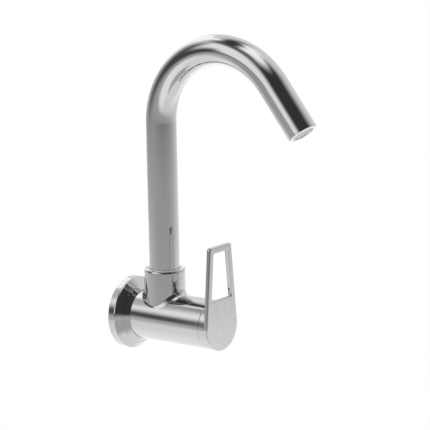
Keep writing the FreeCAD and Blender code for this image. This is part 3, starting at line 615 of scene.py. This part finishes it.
class Saddle:
    """The barrel's skin round the collar: spokes run from the collar's socket to a border on the barrel.

    The border is a band right round the barrel. Unrolled, it is a rectangle whose long sides are circles
    of the barrel and whose short sides meet in a seam under it.
    """

    GIRTH_STEPS = 128
    SEAM_STEPS = 36
    SKIN_STEPS = 26
    FILLET_STEPS = 12
    RIM_STEPS = 8
    PATCH_STEPS = 5
    # Distances of the border: its back from the barrel's back, its front from the riser
    BORDER_BACK = 0.0034
    BORDER_FRONT = 0.024
    # Half of the square that the screw hole is cut from, in radii of the hole
    PATCH_SHARE = 1.26

    def __init__(self, sizes, riser):
        self.sizes = sizes
        self.riser = riser
        self.back = sizes.barrel_back + self.BORDER_BACK
        self.front = riser + self.BORDER_FRONT
        self.patch_half = sizes.screw_radius * self.PATCH_SHARE
        self.border = self.unrolled_border()
        half_girth = sizes.barrel_radius * math.asin(sizes.collar_radius / sizes.barrel_radius)
        self.turns = [math.atan2(across / half_girth, along / sizes.collar_radius)
                      for across, along in self.border]

    def unrolled_border(self):
        """Points (round the barrel, along it from the riser) once round the border."""
        half = math.pi * self.sizes.barrel_radius
        corners = [(-half, self.front - self.riser), (half, self.front - self.riser),
                   (half, self.back - self.riser), (-half, self.back - self.riser)]
        steps = [self.GIRTH_STEPS, self.SEAM_STEPS] * 2
        points = []
        for (one, two), count in zip(zip(corners, corners[1:] + corners[:1]), steps):
            points += line(one, two, count)
        return points

    def on_collar(self, spoke, radius, height):
        return self.collar_facing(spoke) * radius + Vector((0, -self.riser, height))

    def collar_facing(self, spoke):
        turn = self.turns[spoke]
        return Vector((math.sin(turn), -math.cos(turn), 0))

    def fillet_radius(self, spoke):
        """Radius of the fillet, which widens from the front and the back to the sides."""
        ahead = math.cos(self.turns[spoke])
        end = self.sizes.saddle_front if ahead > 0 else self.sizes.saddle_back
        return self.sizes.saddle_side + (end - self.sizes.saddle_side) * ahead ** 2

    def on_fillet(self, spoke, part):
        """Point and facing on the fillet, from the collar (0) to the barrel (1), round a rolling ball."""
        ball = self.fillet_radius(spoke)
        rise = self.sizes.barrel_radius + ball
        centre = self.on_collar(spoke, self.sizes.collar_radius + ball, 0)
        centre.z = math.sqrt(rise ** 2 - centre.x ** 2)
        to_barrel = Vector((-centre.x, 0, -centre.z)) / rise
        direction = (-self.collar_facing(spoke)).slerp(to_barrel, part)
        return centre + direction * ball, -direction

    def on_rim(self, spoke, part):
        """Point and facing on the collar's rounded rim, from its top (0) to its side (1)."""
        depth, drop = self.sizes.rim_depth, self.sizes.rim_drop
        out, up = math.sin(part * math.pi / 2), math.cos(part * math.pi / 2)
        point = self.on_collar(spoke, self.sizes.collar_radius - depth * (1 - out),
                               self.sizes.collar_top - drop * (1 - up))
        return point, (self.collar_facing(spoke) * (out / depth) + UP * (up / drop)).normalized()

    def on_barrel(self, spoke, part):
        """Point and facing on the barrel, from the fillet (0) to the border (1)."""
        foot = self.on_fillet(spoke, 1)[0]
        radius = self.sizes.barrel_radius
        near = (radius * math.atan2(foot.x, foot.z), -foot.y - self.riser)
        across, along = (a + (b - a) * part for a, b in zip(near, self.border[spoke]))
        facing = Vector((math.sin(across / radius), 0, math.cos(across / radius)))
        return Vector((radius * facing.x, -self.riser - along, radius * facing.z)), facing

    def loops(self):
        """Each loop as a rule from a spoke to its point and, where it is known, its facing."""
        sizes = self.sizes
        socket = [(sizes.socket_radius, sizes.socket_floor), (sizes.socket_radius, sizes.ring_bottom),
                  (sizes.seat_radius, sizes.ring_bottom), (sizes.seat_radius, sizes.collar_top)]
        for radius, height in socket:
            yield lambda spoke, r=radius, h=height: (self.on_collar(spoke, r, h), Vector())
        for i in range(self.RIM_STEPS + 1):
            yield lambda spoke, part=i / self.RIM_STEPS: self.on_rim(spoke, part)
        for height in self.wall_rows():
            yield lambda spoke, h=height: (self.on_collar(spoke, sizes.collar_radius, h),
                                           self.collar_facing(spoke))
        for i in range(self.FILLET_STEPS + 1):
            yield lambda spoke, part=i / self.FILLET_STEPS: self.on_fillet(spoke, part)
        for i in range(1, self.SKIN_STEPS + 1):
            yield lambda spoke, part=i / self.SKIN_STEPS: self.on_barrel(spoke, part)

    def wall_rows(self):
        """Heights of loops down the collar, close together round the screw hole."""
        return reversed(rows_about(self.sizes.screw_height, self.patch_half, self.PATCH_STEPS))

    def in_patch(self, face):
        middle = face.calc_center_median()
        side, reach = middle.y + self.riser, self.patch_half
        return (middle.x > 0 and abs(middle.z - self.sizes.screw_height) < reach and abs(side) < reach
                and abs(math.hypot(middle.x, side) - self.sizes.collar_radius) < ON_WALL)

    def to_screw_hole(self, point):
        """Moves a point of the collar to the edge of the screw hole, along the collar's wall."""
        side, lift = point.y + self.riser, point.z - self.sizes.screw_height
        scale = self.sizes.screw_radius / math.hypot(side, lift)
        depth = math.sqrt(self.sizes.collar_radius ** 2 - (side * scale) ** 2)
        return Vector((depth, side * scale - self.riser, lift * scale + self.sizes.screw_height))


class TAP_OT_body(bpy.types.Operator):
    """Shape the barrel with its collar, bores and inlet thread"""

    bl_idname = "tap.body"
    bl_label = "Barrel and collar"

    THREAD_TURNS = 7
    # Where a turn's crest starts and ends, in pitches
    CREST = (0.3, 0.7)
    END_CHAMFER = 0.0005
    SCREW_DEPTH = 0.0014
    # How far behind the front edge the plain skin ends, in roundings of that edge
    FRONT_GUARD = 1.3

    def execute(self, context):
        sizes, spout = context.scene.tap_body, context.scene.tap_spout
        bm = bmesh.new()
        facing = bm.verts.layers.float_vector.new(FACING)
        spokes = bm.verts.layers.int.new(SPOKE)
        saddle = Saddle(sizes, spout.riser_distance)
        self.draw_saddle(bm, saddle, facing, spokes)
        front = rim(bm, sizes.barrel_radius, saddle.front, out_of_wall())
        back = rim(bm, sizes.barrel_radius, saddle.back, out_of_wall())
        self.draw_path(bm, front, self.front_path(sizes), facing)
        self.draw_path(bm, back, self.back_path(sizes), facing)
        bmesh.ops.remove_doubles(bm, verts=bm.verts, dist=NEAR)
        bm.verts.layers.int.remove(bm.verts.layers.int[SPOKE])
        self.drill_collar(bm, saddle)
        bmesh.ops.recalc_face_normals(bm, faces=bm.faces)
        front = rim(bm, sizes.barrel_radius, sizes.barrel_front, out_of_wall())
        rounded(bm, front, sizes.front_round, segments=5)
        add_piece(bm, "barrel_and_collar", "body", "tap_body", "chrome", Matrix())
        return {"FINISHED"}

    def draw_saddle(self, bm, saddle, facing, spokes):
        """Draws the socket, the collar, its fillet and the barrel's skin loop by loop."""
        count = len(saddle.border)
        for rule, verts in spoke_loops(bm, spokes, count, saddle.loops(), cap_ends=True):
            for vert in verts:
                vert.co, vert[facing] = rule(vert[spokes])
        bmesh.ops.remove_doubles(bm, verts=verts, dist=NEAR)

    def draw_path(self, bm, loop, path, facing):
        """Draws a circle about the barrel's axis through (radius, distance, keeps its facing)."""
        for radius, distance, keeps in path:
            loop, verts = next_loop(bm, loop)
            for vert in verts:
                scale = radius / math.hypot(vert.co.x, vert.co.z)
                vert.co = (vert.co.x * scale, -distance, vert.co.z * scale)
                if not keeps:
                    vert[facing] = Vector()

    def front_path(self, sizes):
        """Round the barrel's front edge and back through the bores to the inlet's end."""
        corners = [(sizes.front_bore, sizes.barrel_front), (sizes.front_bore, sizes.bushing_front),
                   (sizes.bushing_radius, sizes.bushing_front), (sizes.bushing_radius, sizes.bushing_back),
                   (sizes.chamber_radius, sizes.bushing_back), (sizes.chamber_radius, sizes.chamber_back),
                   (sizes.inlet_radius, sizes.chamber_back), (sizes.inlet_radius, -self.inlet_length(sizes))]
        skin = [(sizes.barrel_radius, sizes.barrel_front - sizes.front_round * self.FRONT_GUARD, True),
                (sizes.barrel_radius, sizes.barrel_front, False)]
        return skin + [(*corner, False) for corner in corners]

    def back_path(self, sizes):
        """Round the barrel's back edge and along the neck and the thread to the inlet's end."""
        root = sizes.thread_radius - sizes.thread_depth
        corners = [(sizes.barrel_radius, sizes.barrel_back), (sizes.neck_radius, sizes.barrel_back),
                   (sizes.neck_radius, 0), (root, 0), (root, -sizes.thread_relief)]
        for i in range(self.THREAD_TURNS):
            start = -sizes.thread_relief - sizes.thread_pitch * i
            corners += [(sizes.thread_radius, start - part * sizes.thread_pitch) for part in self.CREST]
            corners.append((root, start - sizes.thread_pitch))
        end, chamfer = -self.inlet_length(sizes), self.END_CHAMFER
        corners += [(root, end + chamfer), (root - chamfer, end), (sizes.inlet_radius, end)]
        return [(*corner, False) for corner in corners]

    def inlet_length(self, sizes):
        return sizes.thread_relief + self.THREAD_TURNS * sizes.thread_pitch + sizes.thread_lead_in

    def drill_collar(self, bm, saddle):
        """Opens the collar's screw hole as far as the screw's shank."""
        faces = [face for face in bm.faces if saddle.in_patch(face)]
        loop, verts = open_patch(bm, faces, saddle.to_screw_hole)
        layer = bm.verts.layers.float_vector[FACING]
        for vert in verts:
            vert[layer] = Vector()
        loop, verts = next_loop(bm, loop)
        for vert in verts:
            vert.co.x = saddle.sizes.collar_radius - self.SCREW_DEPTH
            vert[layer] = Vector()
        bmesh.ops.edgeloop_fill(bm, edges=loop)


class TAP_OT_swivel_ring(bpy.types.Operator):
    """Turn the plastic ring that the spout swivels in"""

    bl_idname = "tap.swivel_ring"
    bl_label = "Swivel ring"

    def execute(self, context):
        sizes, spout = context.scene.tap_body, context.scene.tap_spout
        flange_top = sizes.ring_bottom + sizes.ring_flange
        bm = turned([(sizes.socket_radius, sizes.ring_bottom), (sizes.seat_radius, sizes.ring_bottom),
                     (sizes.seat_radius, sizes.ring_top), (sizes.ring_bore, sizes.ring_top),
                     (sizes.ring_bore, flange_top), (sizes.socket_radius, flange_top)], steps=128)
        for radius in (sizes.ring_bore, sizes.seat_radius):
            rounded(bm, rim(bm, radius, sizes.ring_top), EDGE_ROUND, segments=3)
        place = Matrix.Translation((0, -spout.riser_distance, 0))
        even_faces(add_piece(bm, "swivel_ring", "body", "swivel_bush", "bearing_plastic", place))
        return {"FINISHED"}


class TAP_OT_flange(bpy.types.Operator):
    """Turn the wall flange"""

    bl_idname = "tap.flange"
    bl_label = "Wall flange"

    def execute(self, context):
        sizes = context.scene.tap_flange
        wall = sizes.rim_wall
        back = sizes.web_front - wall
        bm = turned([(sizes.rim_radius, 0), (sizes.rim_radius, sizes.face),
                     (sizes.step_radius, sizes.hub_foot), (sizes.hub_radius, sizes.hub_foot),
                     (sizes.lip_radius, sizes.hub_front), (sizes.hub_bore, sizes.hub_front),
                     (sizes.hub_bore, sizes.web_front), (sizes.neck_hole, sizes.web_front),
                     (sizes.neck_hole, back), (sizes.hub_radius - wall, back),
                     (sizes.hub_radius - wall, sizes.face), (sizes.rim_radius - wall, sizes.face - wall / 2),
                     (sizes.rim_radius - wall, 0)], steps=160)
        rounded(bm, rim(bm, sizes.rim_radius, sizes.face), sizes.rim_round, segments=8)
        rounded(bm, rim(bm, sizes.lip_radius, sizes.hub_front), sizes.hub_round, segments=3)
        rounded(bm, rim(bm, sizes.rim_radius, 0), WIDE_EDGE_ROUND, segments=3)
        even_faces(add_piece(bm, "flange_cup", "body", "wall_flange", "chrome", out_of_wall()))
        return {"FINISHED"}


# Lever


def arc(centre, radius, start, end, count):
    """Points on an arc from a start angle up to, but not at, an end angle."""
    turns = [start + (end - start) * i / count for i in range(count)]
    return [(centre[0] + radius * math.cos(turn), centre[1] + radius * math.sin(turn)) for turn in turns]


class Plate:
    """Outlines of the lever's plate as (across, height) points, clockwise from the top edge's left end."""

    TOP_STEPS = 10
    CORNER_STEPS = 12
    SIDE_STEPS = 16
    FOOT_STEPS = 96

    def __init__(self, sizes):
        self.sizes = sizes
        half, top, radius = sizes.top_half, sizes.height, sizes.cap_radius
        square = half * half + top * top
        tangent = math.sqrt(square - radius * radius)
        self.across = (half * radius + top * tangent) / square
        self.rise = (top * radius - half * tangent) / square
        self.lean = math.atan2(self.rise, self.across)

    def corner(self, inset, height, radius):
        """Centre of a corner's arc, a radius inside a side line that is inset from the plate's side."""
        reach = self.sizes.cap_radius - inset - radius
        return ((reach - self.rise * height) / self.across, height)

    def outline(self, right, bottom):
        """Closes a right side that runs down from the top edge by its mirror image and a bottom."""
        left = [(-across, height) for across, height in reversed(right)]
        return line(left[-1], right[0], self.TOP_STEPS) + right + bottom[1:] + left[:-1]

    def beside(self, centre, radius):
        """Where an arc about a centre touches the side line."""
        return centre[0] + radius * self.across, centre[1] + radius * self.rise

    def border(self):
        sizes, radius = self.sizes, self.sizes.top_corner
        upper = self.corner(0, sizes.height - radius, radius)
        side_foot = self.beside((0, 0), sizes.cap_radius)
        right = arc(upper, radius, math.pi / 2, self.lean, self.CORNER_STEPS)
        right += line(self.beside(upper, radius), side_foot, self.SIDE_STEPS) + [side_foot]
        foot = arc((0, 0), sizes.cap_radius, self.lean, -math.pi - self.lean, self.FOOT_STEPS)
        return self.outline(right, foot)

    def window(self):
        sizes, radius = self.sizes, self.sizes.window_corner
        upper = self.corner(sizes.side_bar, sizes.window_top - radius, radius)
        lower = self.corner(sizes.side_bar, sizes.window_bottom + radius, radius)
        sill_end = (lower[0], sizes.window_bottom)
        right = arc(upper, radius, math.pi / 2, self.lean, self.CORNER_STEPS)
        right += line(self.beside(upper, radius), self.beside(lower, radius), self.SIDE_STEPS)
        right += arc(lower, radius, self.lean, -math.pi / 2, self.CORNER_STEPS) + [sill_end]
        sill = line(sill_end, (-lower[0], sizes.window_bottom), self.FOOT_STEPS - 2 * self.CORNER_STEPS)
        return self.outline(right, sill)


class TAP_OT_lever(bpy.types.Operator):
    """Shape the windowed lever with its cap and hub"""

    bl_idname = "tap.lever"
    bl_label = "Lever"

    # Half of each patch that a hole is cut from: along the axis in radii of the hole, and across it
    KEY_PATCH = 1.01
    SCREW_PATCH = 1.1
    KEY_PATCH_WIDTH = 0.0029
    # Metal between the screw hole's floor and the hub's bore
    SCREW_FLOOR = 0.0005

    def execute(self, context):
        sizes = context.scene.tap_lever
        bm = joined(self.plate(sizes), self.skirt(sizes), self.hub(sizes))
        even_faces(add_piece(bm, "windowed_lever", "lever", "lever_handle", "chrome", Matrix()))
        return {"FINISHED"}

    def plate(self, sizes):
        """The window's outline drawn out to the border, forward, and back in to the window."""
        plate = Plate(sizes)
        window, border = plate.window(), plate.border()
        bm = bmesh.new()
        spokes = bm.verts.layers.int.new(SPOKE)
        path = [(window, sizes.plate_back), (border, sizes.plate_back), (border, sizes.plate_front),
                (window, sizes.plate_front), (window, sizes.plate_back)]
        for (outline, distance), verts in spoke_loops(bm, spokes, len(window), path):
            for vert in verts:
                across, height = outline[vert[spokes]]
                vert.co = (across, -distance, height)
        bmesh.ops.remove_doubles(bm, verts=bm.verts, dist=NEAR)
        bm.verts.layers.int.remove(bm.verts.layers.int[SPOKE])
        bmesh.ops.recalc_face_normals(bm, faces=bm.faces)
        edges = [edge for edge in bm.edges if edge.calc_face_angle(0) > CORNER_ANGLE]
        rounded(bm, edges, sizes.plate_round, segments=5)
        return bm

    def skirt(self, sizes):
        """The cap's skirt, let into the plate, with the key hole under it."""
        front = sizes.plate_back + sizes.plate_round
        half = sizes.key_radius * self.KEY_PATCH
        rows = rows_about(sizes.screw_distance, half, steps=5)
        corners = [(sizes.cap_radius, row) for row in rows]
        corners += [(sizes.cap_radius, front), (sizes.cap_bore, front)]
        corners += [(sizes.cap_bore, row) for row in reversed(rows)]
        corners += [(sizes.cap_bore, sizes.cap_back), (sizes.cap_radius, sizes.cap_back)]
        bm = turned(corners, steps=240)
        edges = []
        for wall in (sizes.cap_radius, sizes.cap_bore):
            faces = [face for face in bm.faces if self.under(face, wall, sizes, half, self.KEY_PATCH_WIDTH)]
            edges += open_patch(bm, faces, self.to_hole(wall, sizes.key_radius, sizes.screw_distance))[0]
        bmesh.ops.bridge_loops(bm, edges=edges)
        bmesh.ops.recalc_face_normals(bm, faces=bm.faces)
        rounded(bm, rim(bm, sizes.cap_radius, sizes.cap_back), EDGE_ROUND, segments=3)
        bmesh.ops.transform(bm, matrix=out_of_wall(), verts=bm.verts)
        return bm

    def hub(self, sizes):
        """The hub that grips the spindle, with the set screw's hole under it."""
        front = sizes.plate_back + sizes.plate_round
        half = sizes.screw_radius * self.SCREW_PATCH
        rows = rows_about(sizes.screw_distance, half, steps=4)
        corners = [(sizes.hub_bore, sizes.hub_back), (sizes.hub_radius, sizes.hub_back)]
        corners += [(sizes.hub_radius, row) for row in rows]
        corners += [(sizes.hub_radius, front), (sizes.hub_bore, front)]
        bm = turned(corners, steps=144)
        faces = [face for face in bm.faces if self.under(face, sizes.hub_radius, sizes, half, half)]
        to_hole = self.to_hole(sizes.hub_radius, sizes.screw_radius, sizes.screw_distance)
        loop, verts = next_loop(bm, open_patch(bm, faces, to_hole)[0])
        for vert in verts:
            vert.co.y = -sizes.hub_bore - self.SCREW_FLOOR
        bmesh.ops.edgeloop_fill(bm, edges=loop)
        bmesh.ops.recalc_face_normals(bm, faces=bm.faces)
        bmesh.ops.transform(bm, matrix=out_of_wall(), verts=bm.verts)
        return bm

    def under(self, face, wall, sizes, half_length, half_width):
        """Whether a face of a turned wall lies where a hole opens downwards."""
        middle = face.calc_center_median()
        return (middle.y < 0 and abs(middle.x) < half_width
                and abs(middle.z - sizes.screw_distance) < half_length
                and abs(math.hypot(middle.x, middle.y) - wall) < ON_WALL)

    def to_hole(self, wall, radius, distance):
        """Rule that moves a point of a turned wall to the edge of a hole that opens downwards."""
        def moved(point):
            scale = radius / math.hypot(point.x, point.z - distance)
            side, along = point.x * scale, (point.z - distance) * scale
            return Vector((side, -math.sqrt(wall ** 2 - side ** 2), distance + along))

        return moved


class TAP_OT_inner_pieces(bpy.types.Operator):
    """Give the pieces inside the tap their finishes"""

    bl_idname = "tap.inner_pieces"
    bl_label = "Inner pieces"

    def execute(self, context):
        for row in frame["record"]["subparts"]:
            node = frame["nodes"][row["node"]]
            node.data.materials.clear()
            node.data.materials.append(finish(row["material_slot"]))
        return {"FINISHED"}


# Stage

# Soft-edged cards round the tap, which only reflections show. Middle, half-widths and softness of the edges
# are azimuth from straight in front towards the right and elevation from the level, in degrees; the lean is
# in degrees of elevation for each degree of azimuth. The values come from a fit to the photo's reflections.
CARDS = {
    "overhead_softbox": dict(middle=(0, 90), half=(180, 34.5), soft=(0, 26), lean=0,
        distance=3.1, level=1.56),
    "right_softbox": dict(middle=(160, 25), half=(25.5, 26.5), soft=(2.5, 3.5), lean=0.68,
        distance=3.05, level=1.56),
    "dark_room": dict(middle=(-65.5, 21.5), half=(144, 45), soft=(76, 20.5), lean=0.2,
        distance=3, level=0.055),
    "left_softbox": dict(middle=(-88, -31), half=(64, 80), soft=(17, 55), lean=-1.41,
        distance=2.9, level=1.27),
    "back_left_flag": dict(middle=(-141.5, 7.5), half=(18.5, 22.5), soft=(4.5, 19), lean=-0.43,
        distance=2.8, level=0.095),
    "crown_flag_left": dict(middle=(-123, 54), half=(51.5, 16.5), soft=(21, 12.5), lean=-0.07,
        distance=2.7, level=0.21),
    "crown_flag_right": dict(middle=(164.5, 70), half=(70, 17.5), soft=(31.5, 17.5), lean=0.16,
        distance=2.65, level=0.28),
    "crown_flag_back": dict(middle=(-169, 69.5), half=(61.5, 15.5), soft=(30.5, 12), lean=-0.16,
        distance=2.6, level=0.065),
    "grey_screen": dict(middle=(-51.5, -6.5), half=(178, 14.5), soft=(167.5, 14.5), lean=0.03,
        distance=2, level=0.045),
    "low_screen": dict(middle=(-93, -13.5), half=(178, 12.5), soft=(110, 12.5), lean=-0.02,
        distance=1.95, level=0.53),
    "right_bounce": dict(middle=(109.5, -43.5), half=(157, 34.5), soft=(144.5, 33), lean=0.08,
        distance=0.6, level=1.605),
    "under_bounce": dict(middle=(0, -90), half=(180, 60.5), soft=(0, 13), lean=0,
        distance=0.3, level=1.1),
    "under_right_bounce": dict(middle=(141.5, -53), half=(92.5, 16), soft=(44.5, 12), lean=-0.13,
        distance=0.29, level=1.25),
    "flange_shade": dict(middle=(-85.5, -57.5), half=(47, 22.5), soft=(26, 10.5), lean=0.11,
        distance=0.255, level=0.6),
}


def view_axes(stage):
    """Camera's right, up and backward directions."""
    level = math.cos(stage.elevation)
    back = Vector((math.sin(stage.azimuth) * level, -math.cos(stage.azimuth) * level,
                   math.sin(stage.elevation)))
    right = (-back).cross(UP).normalized()
    up = right.cross(-back)
    turn = Matrix.Rotation(stage.roll, 3, back)
    return turn @ right, turn @ up, back


class TAP_OT_stage(bpy.types.Operator):
    """Set up the camera, the floor and the studio light"""

    bl_idname = "tap.stage"
    bl_label = "Studio"

    SENSOR_WIDTH = 36
    WHITE = (1, 1, 1, 1)
    FILL_LIGHT = (0.62, 0.62, 0.62, 1)
    FLOOR_COLOUR = (0.9, 0.9, 0.9, 1)
    # Share of the shadow's reach at which the matt floor starts to fade
    FADE_START = 0.35
    LAMP_PLACE = (-0.1, -0.2, 1.6)
    LAMP_SIZE = 1.6
    LAMP_POWER = 22

    def execute(self, context):
        stage = context.scene.tap_stage
        context.scene.view_settings.view_transform = "Standard"
        self.camera(context, stage)
        self.world(context)
        self.floor(context, stage)
        self.lamp(context)
        for name, card in CARDS.items():
            self.card(context, name, **card)
        return {"FINISHED"}

    def add_prop(self, context, bm, name, material):
        """Adds a mesh of the studio to the scene."""
        mesh = bpy.data.meshes.new(name)
        bm.to_mesh(mesh)
        bm.free()
        mesh.materials.append(material)
        prop = bpy.data.objects.new(name, mesh)
        context.scene.collection.objects.link(prop)
        return prop

    def empty_tree(self, owner):
        """Node tree of a new material or world, with nothing in it."""
        owner.use_nodes = True
        owner.node_tree.nodes.clear()
        return owner.node_tree

    def blend(self, tree, factor, first, second, output):
        """Mixes two shaders by a factor into an output."""
        inputs = {0: factor, 1: first.outputs[0], 2: second.outputs[0]}
        mix = add_node(tree, "ShaderNodeMixShader", inputs)
        add_node(tree, output, {"Surface": mix.outputs[0]})

    def card(self, context, name, middle, half, soft, lean, distance, level):
        """Bends a grid into a soft-edged patch of a sphere round the tap."""
        bm = bmesh.new()
        bmesh.ops.create_grid(bm, x_segments=64, y_segments=32, size=1)
        cover = bm.verts.layers.float.new("cover")
        centre = (Vector(CAD_BOX[0]) + Vector(CAD_BOX[1])) / 2
        for vert in bm.verts:
            vert[cover] = 1
            for place, width, edge in zip(vert.co, half, soft):
                if edge:
                    part = min(1, (1 - abs(place)) * width / edge)
                    vert[cover] *= part * part * (3 - 2 * part)
            azimuth = middle[0] + half[0] * vert.co.x
            elevation = middle[1] + half[1] * vert.co.y + lean * half[0] * vert.co.x
            elevation = max(-90, min(90, elevation))
            turn, lift = math.radians(azimuth), math.radians(elevation)
            level_reach = distance * math.cos(lift)
            vert.co = centre + Vector((level_reach * math.sin(turn), -level_reach * math.cos(turn),
                                       distance * math.sin(lift)))
        card = self.add_prop(context, bm, name, self.card_paint(name, level))
        for kind in ("camera", "diffuse", "shadow", "volume_scatter"):
            setattr(card, f"visible_{kind}", False)

    def card_paint(self, name, level):
        material = bpy.data.materials.new(name)
        tree = self.empty_tree(material)
        cover = add_node(tree, "ShaderNodeAttribute", attribute_name="cover")
        clear = add_node(tree, "ShaderNodeBsdfTransparent")
        glow = add_node(tree, "ShaderNodeEmission", {"Strength": level})
        self.blend(tree, cover.outputs["Fac"], clear, glow, "ShaderNodeOutputMaterial")
        return material

    def camera(self, context, stage):
        right, up, back = view_axes(stage)
        aim = Vector((stage.aim_across * math.cos(stage.azimuth), stage.aim_across * math.sin(stage.azimuth),
                      stage.aim_height))
        lens = bpy.data.cameras.new("photo_camera")
        lens.lens = stage.focal
        lens.sensor_width = self.SENSOR_WIDTH
        camera = bpy.data.objects.new("photo_camera", lens)
        place = Matrix((right, up, back)).transposed().to_4x4()
        place.translation = aim + back * stage.distance
        camera.matrix_world = place
        context.scene.collection.objects.link(camera)
        context.scene.camera = camera

    def seen(self, tree):
        """One where a ray comes from the camera, a gloss or a clear piece."""
        path = add_node(tree, "ShaderNodeLightPath")
        total = path.outputs["Is Camera Ray"]
        for kind in ("Is Glossy Ray", "Is Transmission Ray"):
            inputs = {0: total, 1: path.outputs[kind]}
            total = add_node(tree, "ShaderNodeMath", inputs, operation="MAXIMUM").outputs[0]
        return total

    def world(self, context):
        world = bpy.data.worlds.new("white_studio")
        context.scene.world = world
        tree = self.empty_tree(world)
        shown = add_node(tree, "ShaderNodeBackground", {"Color": self.WHITE})
        fill = add_node(tree, "ShaderNodeBackground", {"Color": self.FILL_LIGHT})
        self.blend(tree, self.seen(tree), fill, shown, "ShaderNodeOutputWorld")

    def floor(self, context, stage):
        bm = bmesh.new()
        place = Matrix.Translation((0, 0, stage.floor_height))
        bmesh.ops.create_circle(bm, cap_ends=True, radius=stage.floor_radius, segments=96, matrix=place)
        floor = self.add_prop(context, bm, "pale_floor", self.floor_paint(stage))
        # Reflections look past the floor at the white world and the far cards
        floor.visible_glossy = False

    def floor_paint(self, stage):
        """Matt white near the tap, where its shadow falls, and plain white further out."""
        material = bpy.data.materials.new("pale_floor")
        tree = self.empty_tree(material)
        place = add_node(tree, "ShaderNodeTexCoord").outputs["Object"]
        reach = add_node(tree, "ShaderNodeVectorMath", {0: place}, operation="LENGTH")
        inputs = {"Value": reach.outputs["Value"], "From Min": stage.shadow_reach * self.FADE_START,
                  "From Max": stage.shadow_reach}
        fade = add_node(tree, "ShaderNodeMapRange", inputs, interpolation_type="SMOOTHSTEP")
        inputs = {0: fade.outputs["Result"], 1: self.seen(tree)}
        shown = add_node(tree, "ShaderNodeMath", inputs, operation="MULTIPLY")
        matt = add_node(tree, "ShaderNodeBsdfDiffuse", {"Color": self.FLOOR_COLOUR})
        plain = add_node(tree, "ShaderNodeEmission")
        self.blend(tree, shown.outputs[0], matt, plain, "ShaderNodeOutputMaterial")
        return material

    def lamp(self, context):
        lamp = bpy.data.lights.new("overhead", "AREA")
        lamp.shape = "SQUARE"
        lamp.size = self.LAMP_SIZE
        lamp.energy = self.LAMP_POWER
        overhead = bpy.data.objects.new("overhead", lamp)
        overhead.location = self.LAMP_PLACE
        overhead.visible_camera = False
        overhead.visible_glossy = False
        context.scene.collection.objects.link(overhead)


OPERATORS = (TAP_OT_spout_tube, TAP_OT_outlet, TAP_OT_body, TAP_OT_swivel_ring, TAP_OT_flange, TAP_OT_lever,
             TAP_OT_inner_pieces, TAP_OT_stage)


class TAP_PT_panel(bpy.types.Panel):
    """Lists the tap's pieces and sizes"""

    bl_idname = "TAP_PT_panel"
    bl_label = "Sink tap"
    bl_space_type = "VIEW_3D"
    bl_region_type = "UI"
    bl_category = "Sink tap"

    def draw(self, context):
        for operator in OPERATORS:
            self.layout.operator(operator.bl_idname)
        for group, kind in GROUPS.items():
            box = self.layout.box()
            for name in kind.__annotations__:
                box.prop(getattr(context.scene, group), name)


def register():
    for kind in (*GROUPS.values(), *OPERATORS, TAP_PT_panel):
        bpy.utils.register_class(kind)
    for name, kind in GROUPS.items():
        setattr(bpy.types.Scene, name, bpy.props.PointerProperty(type=kind))


def unregister():
    for name in GROUPS:
        delattr(bpy.types.Scene, name)
    for kind in reversed((*GROUPS.values(), *OPERATORS, TAP_PT_panel)):
        bpy.utils.unregister_class(kind)


def main():
    register()
    bpy.ops.tap.spout_tube()
    bpy.ops.tap.outlet()
    bpy.ops.tap.body()
    bpy.ops.tap.swivel_ring()
    bpy.ops.tap.flange()
    bpy.ops.tap.lever()
    bpy.ops.tap.inner_pieces()
    bpy.ops.tap.stage()


if __name__ == "__main__":
    main()
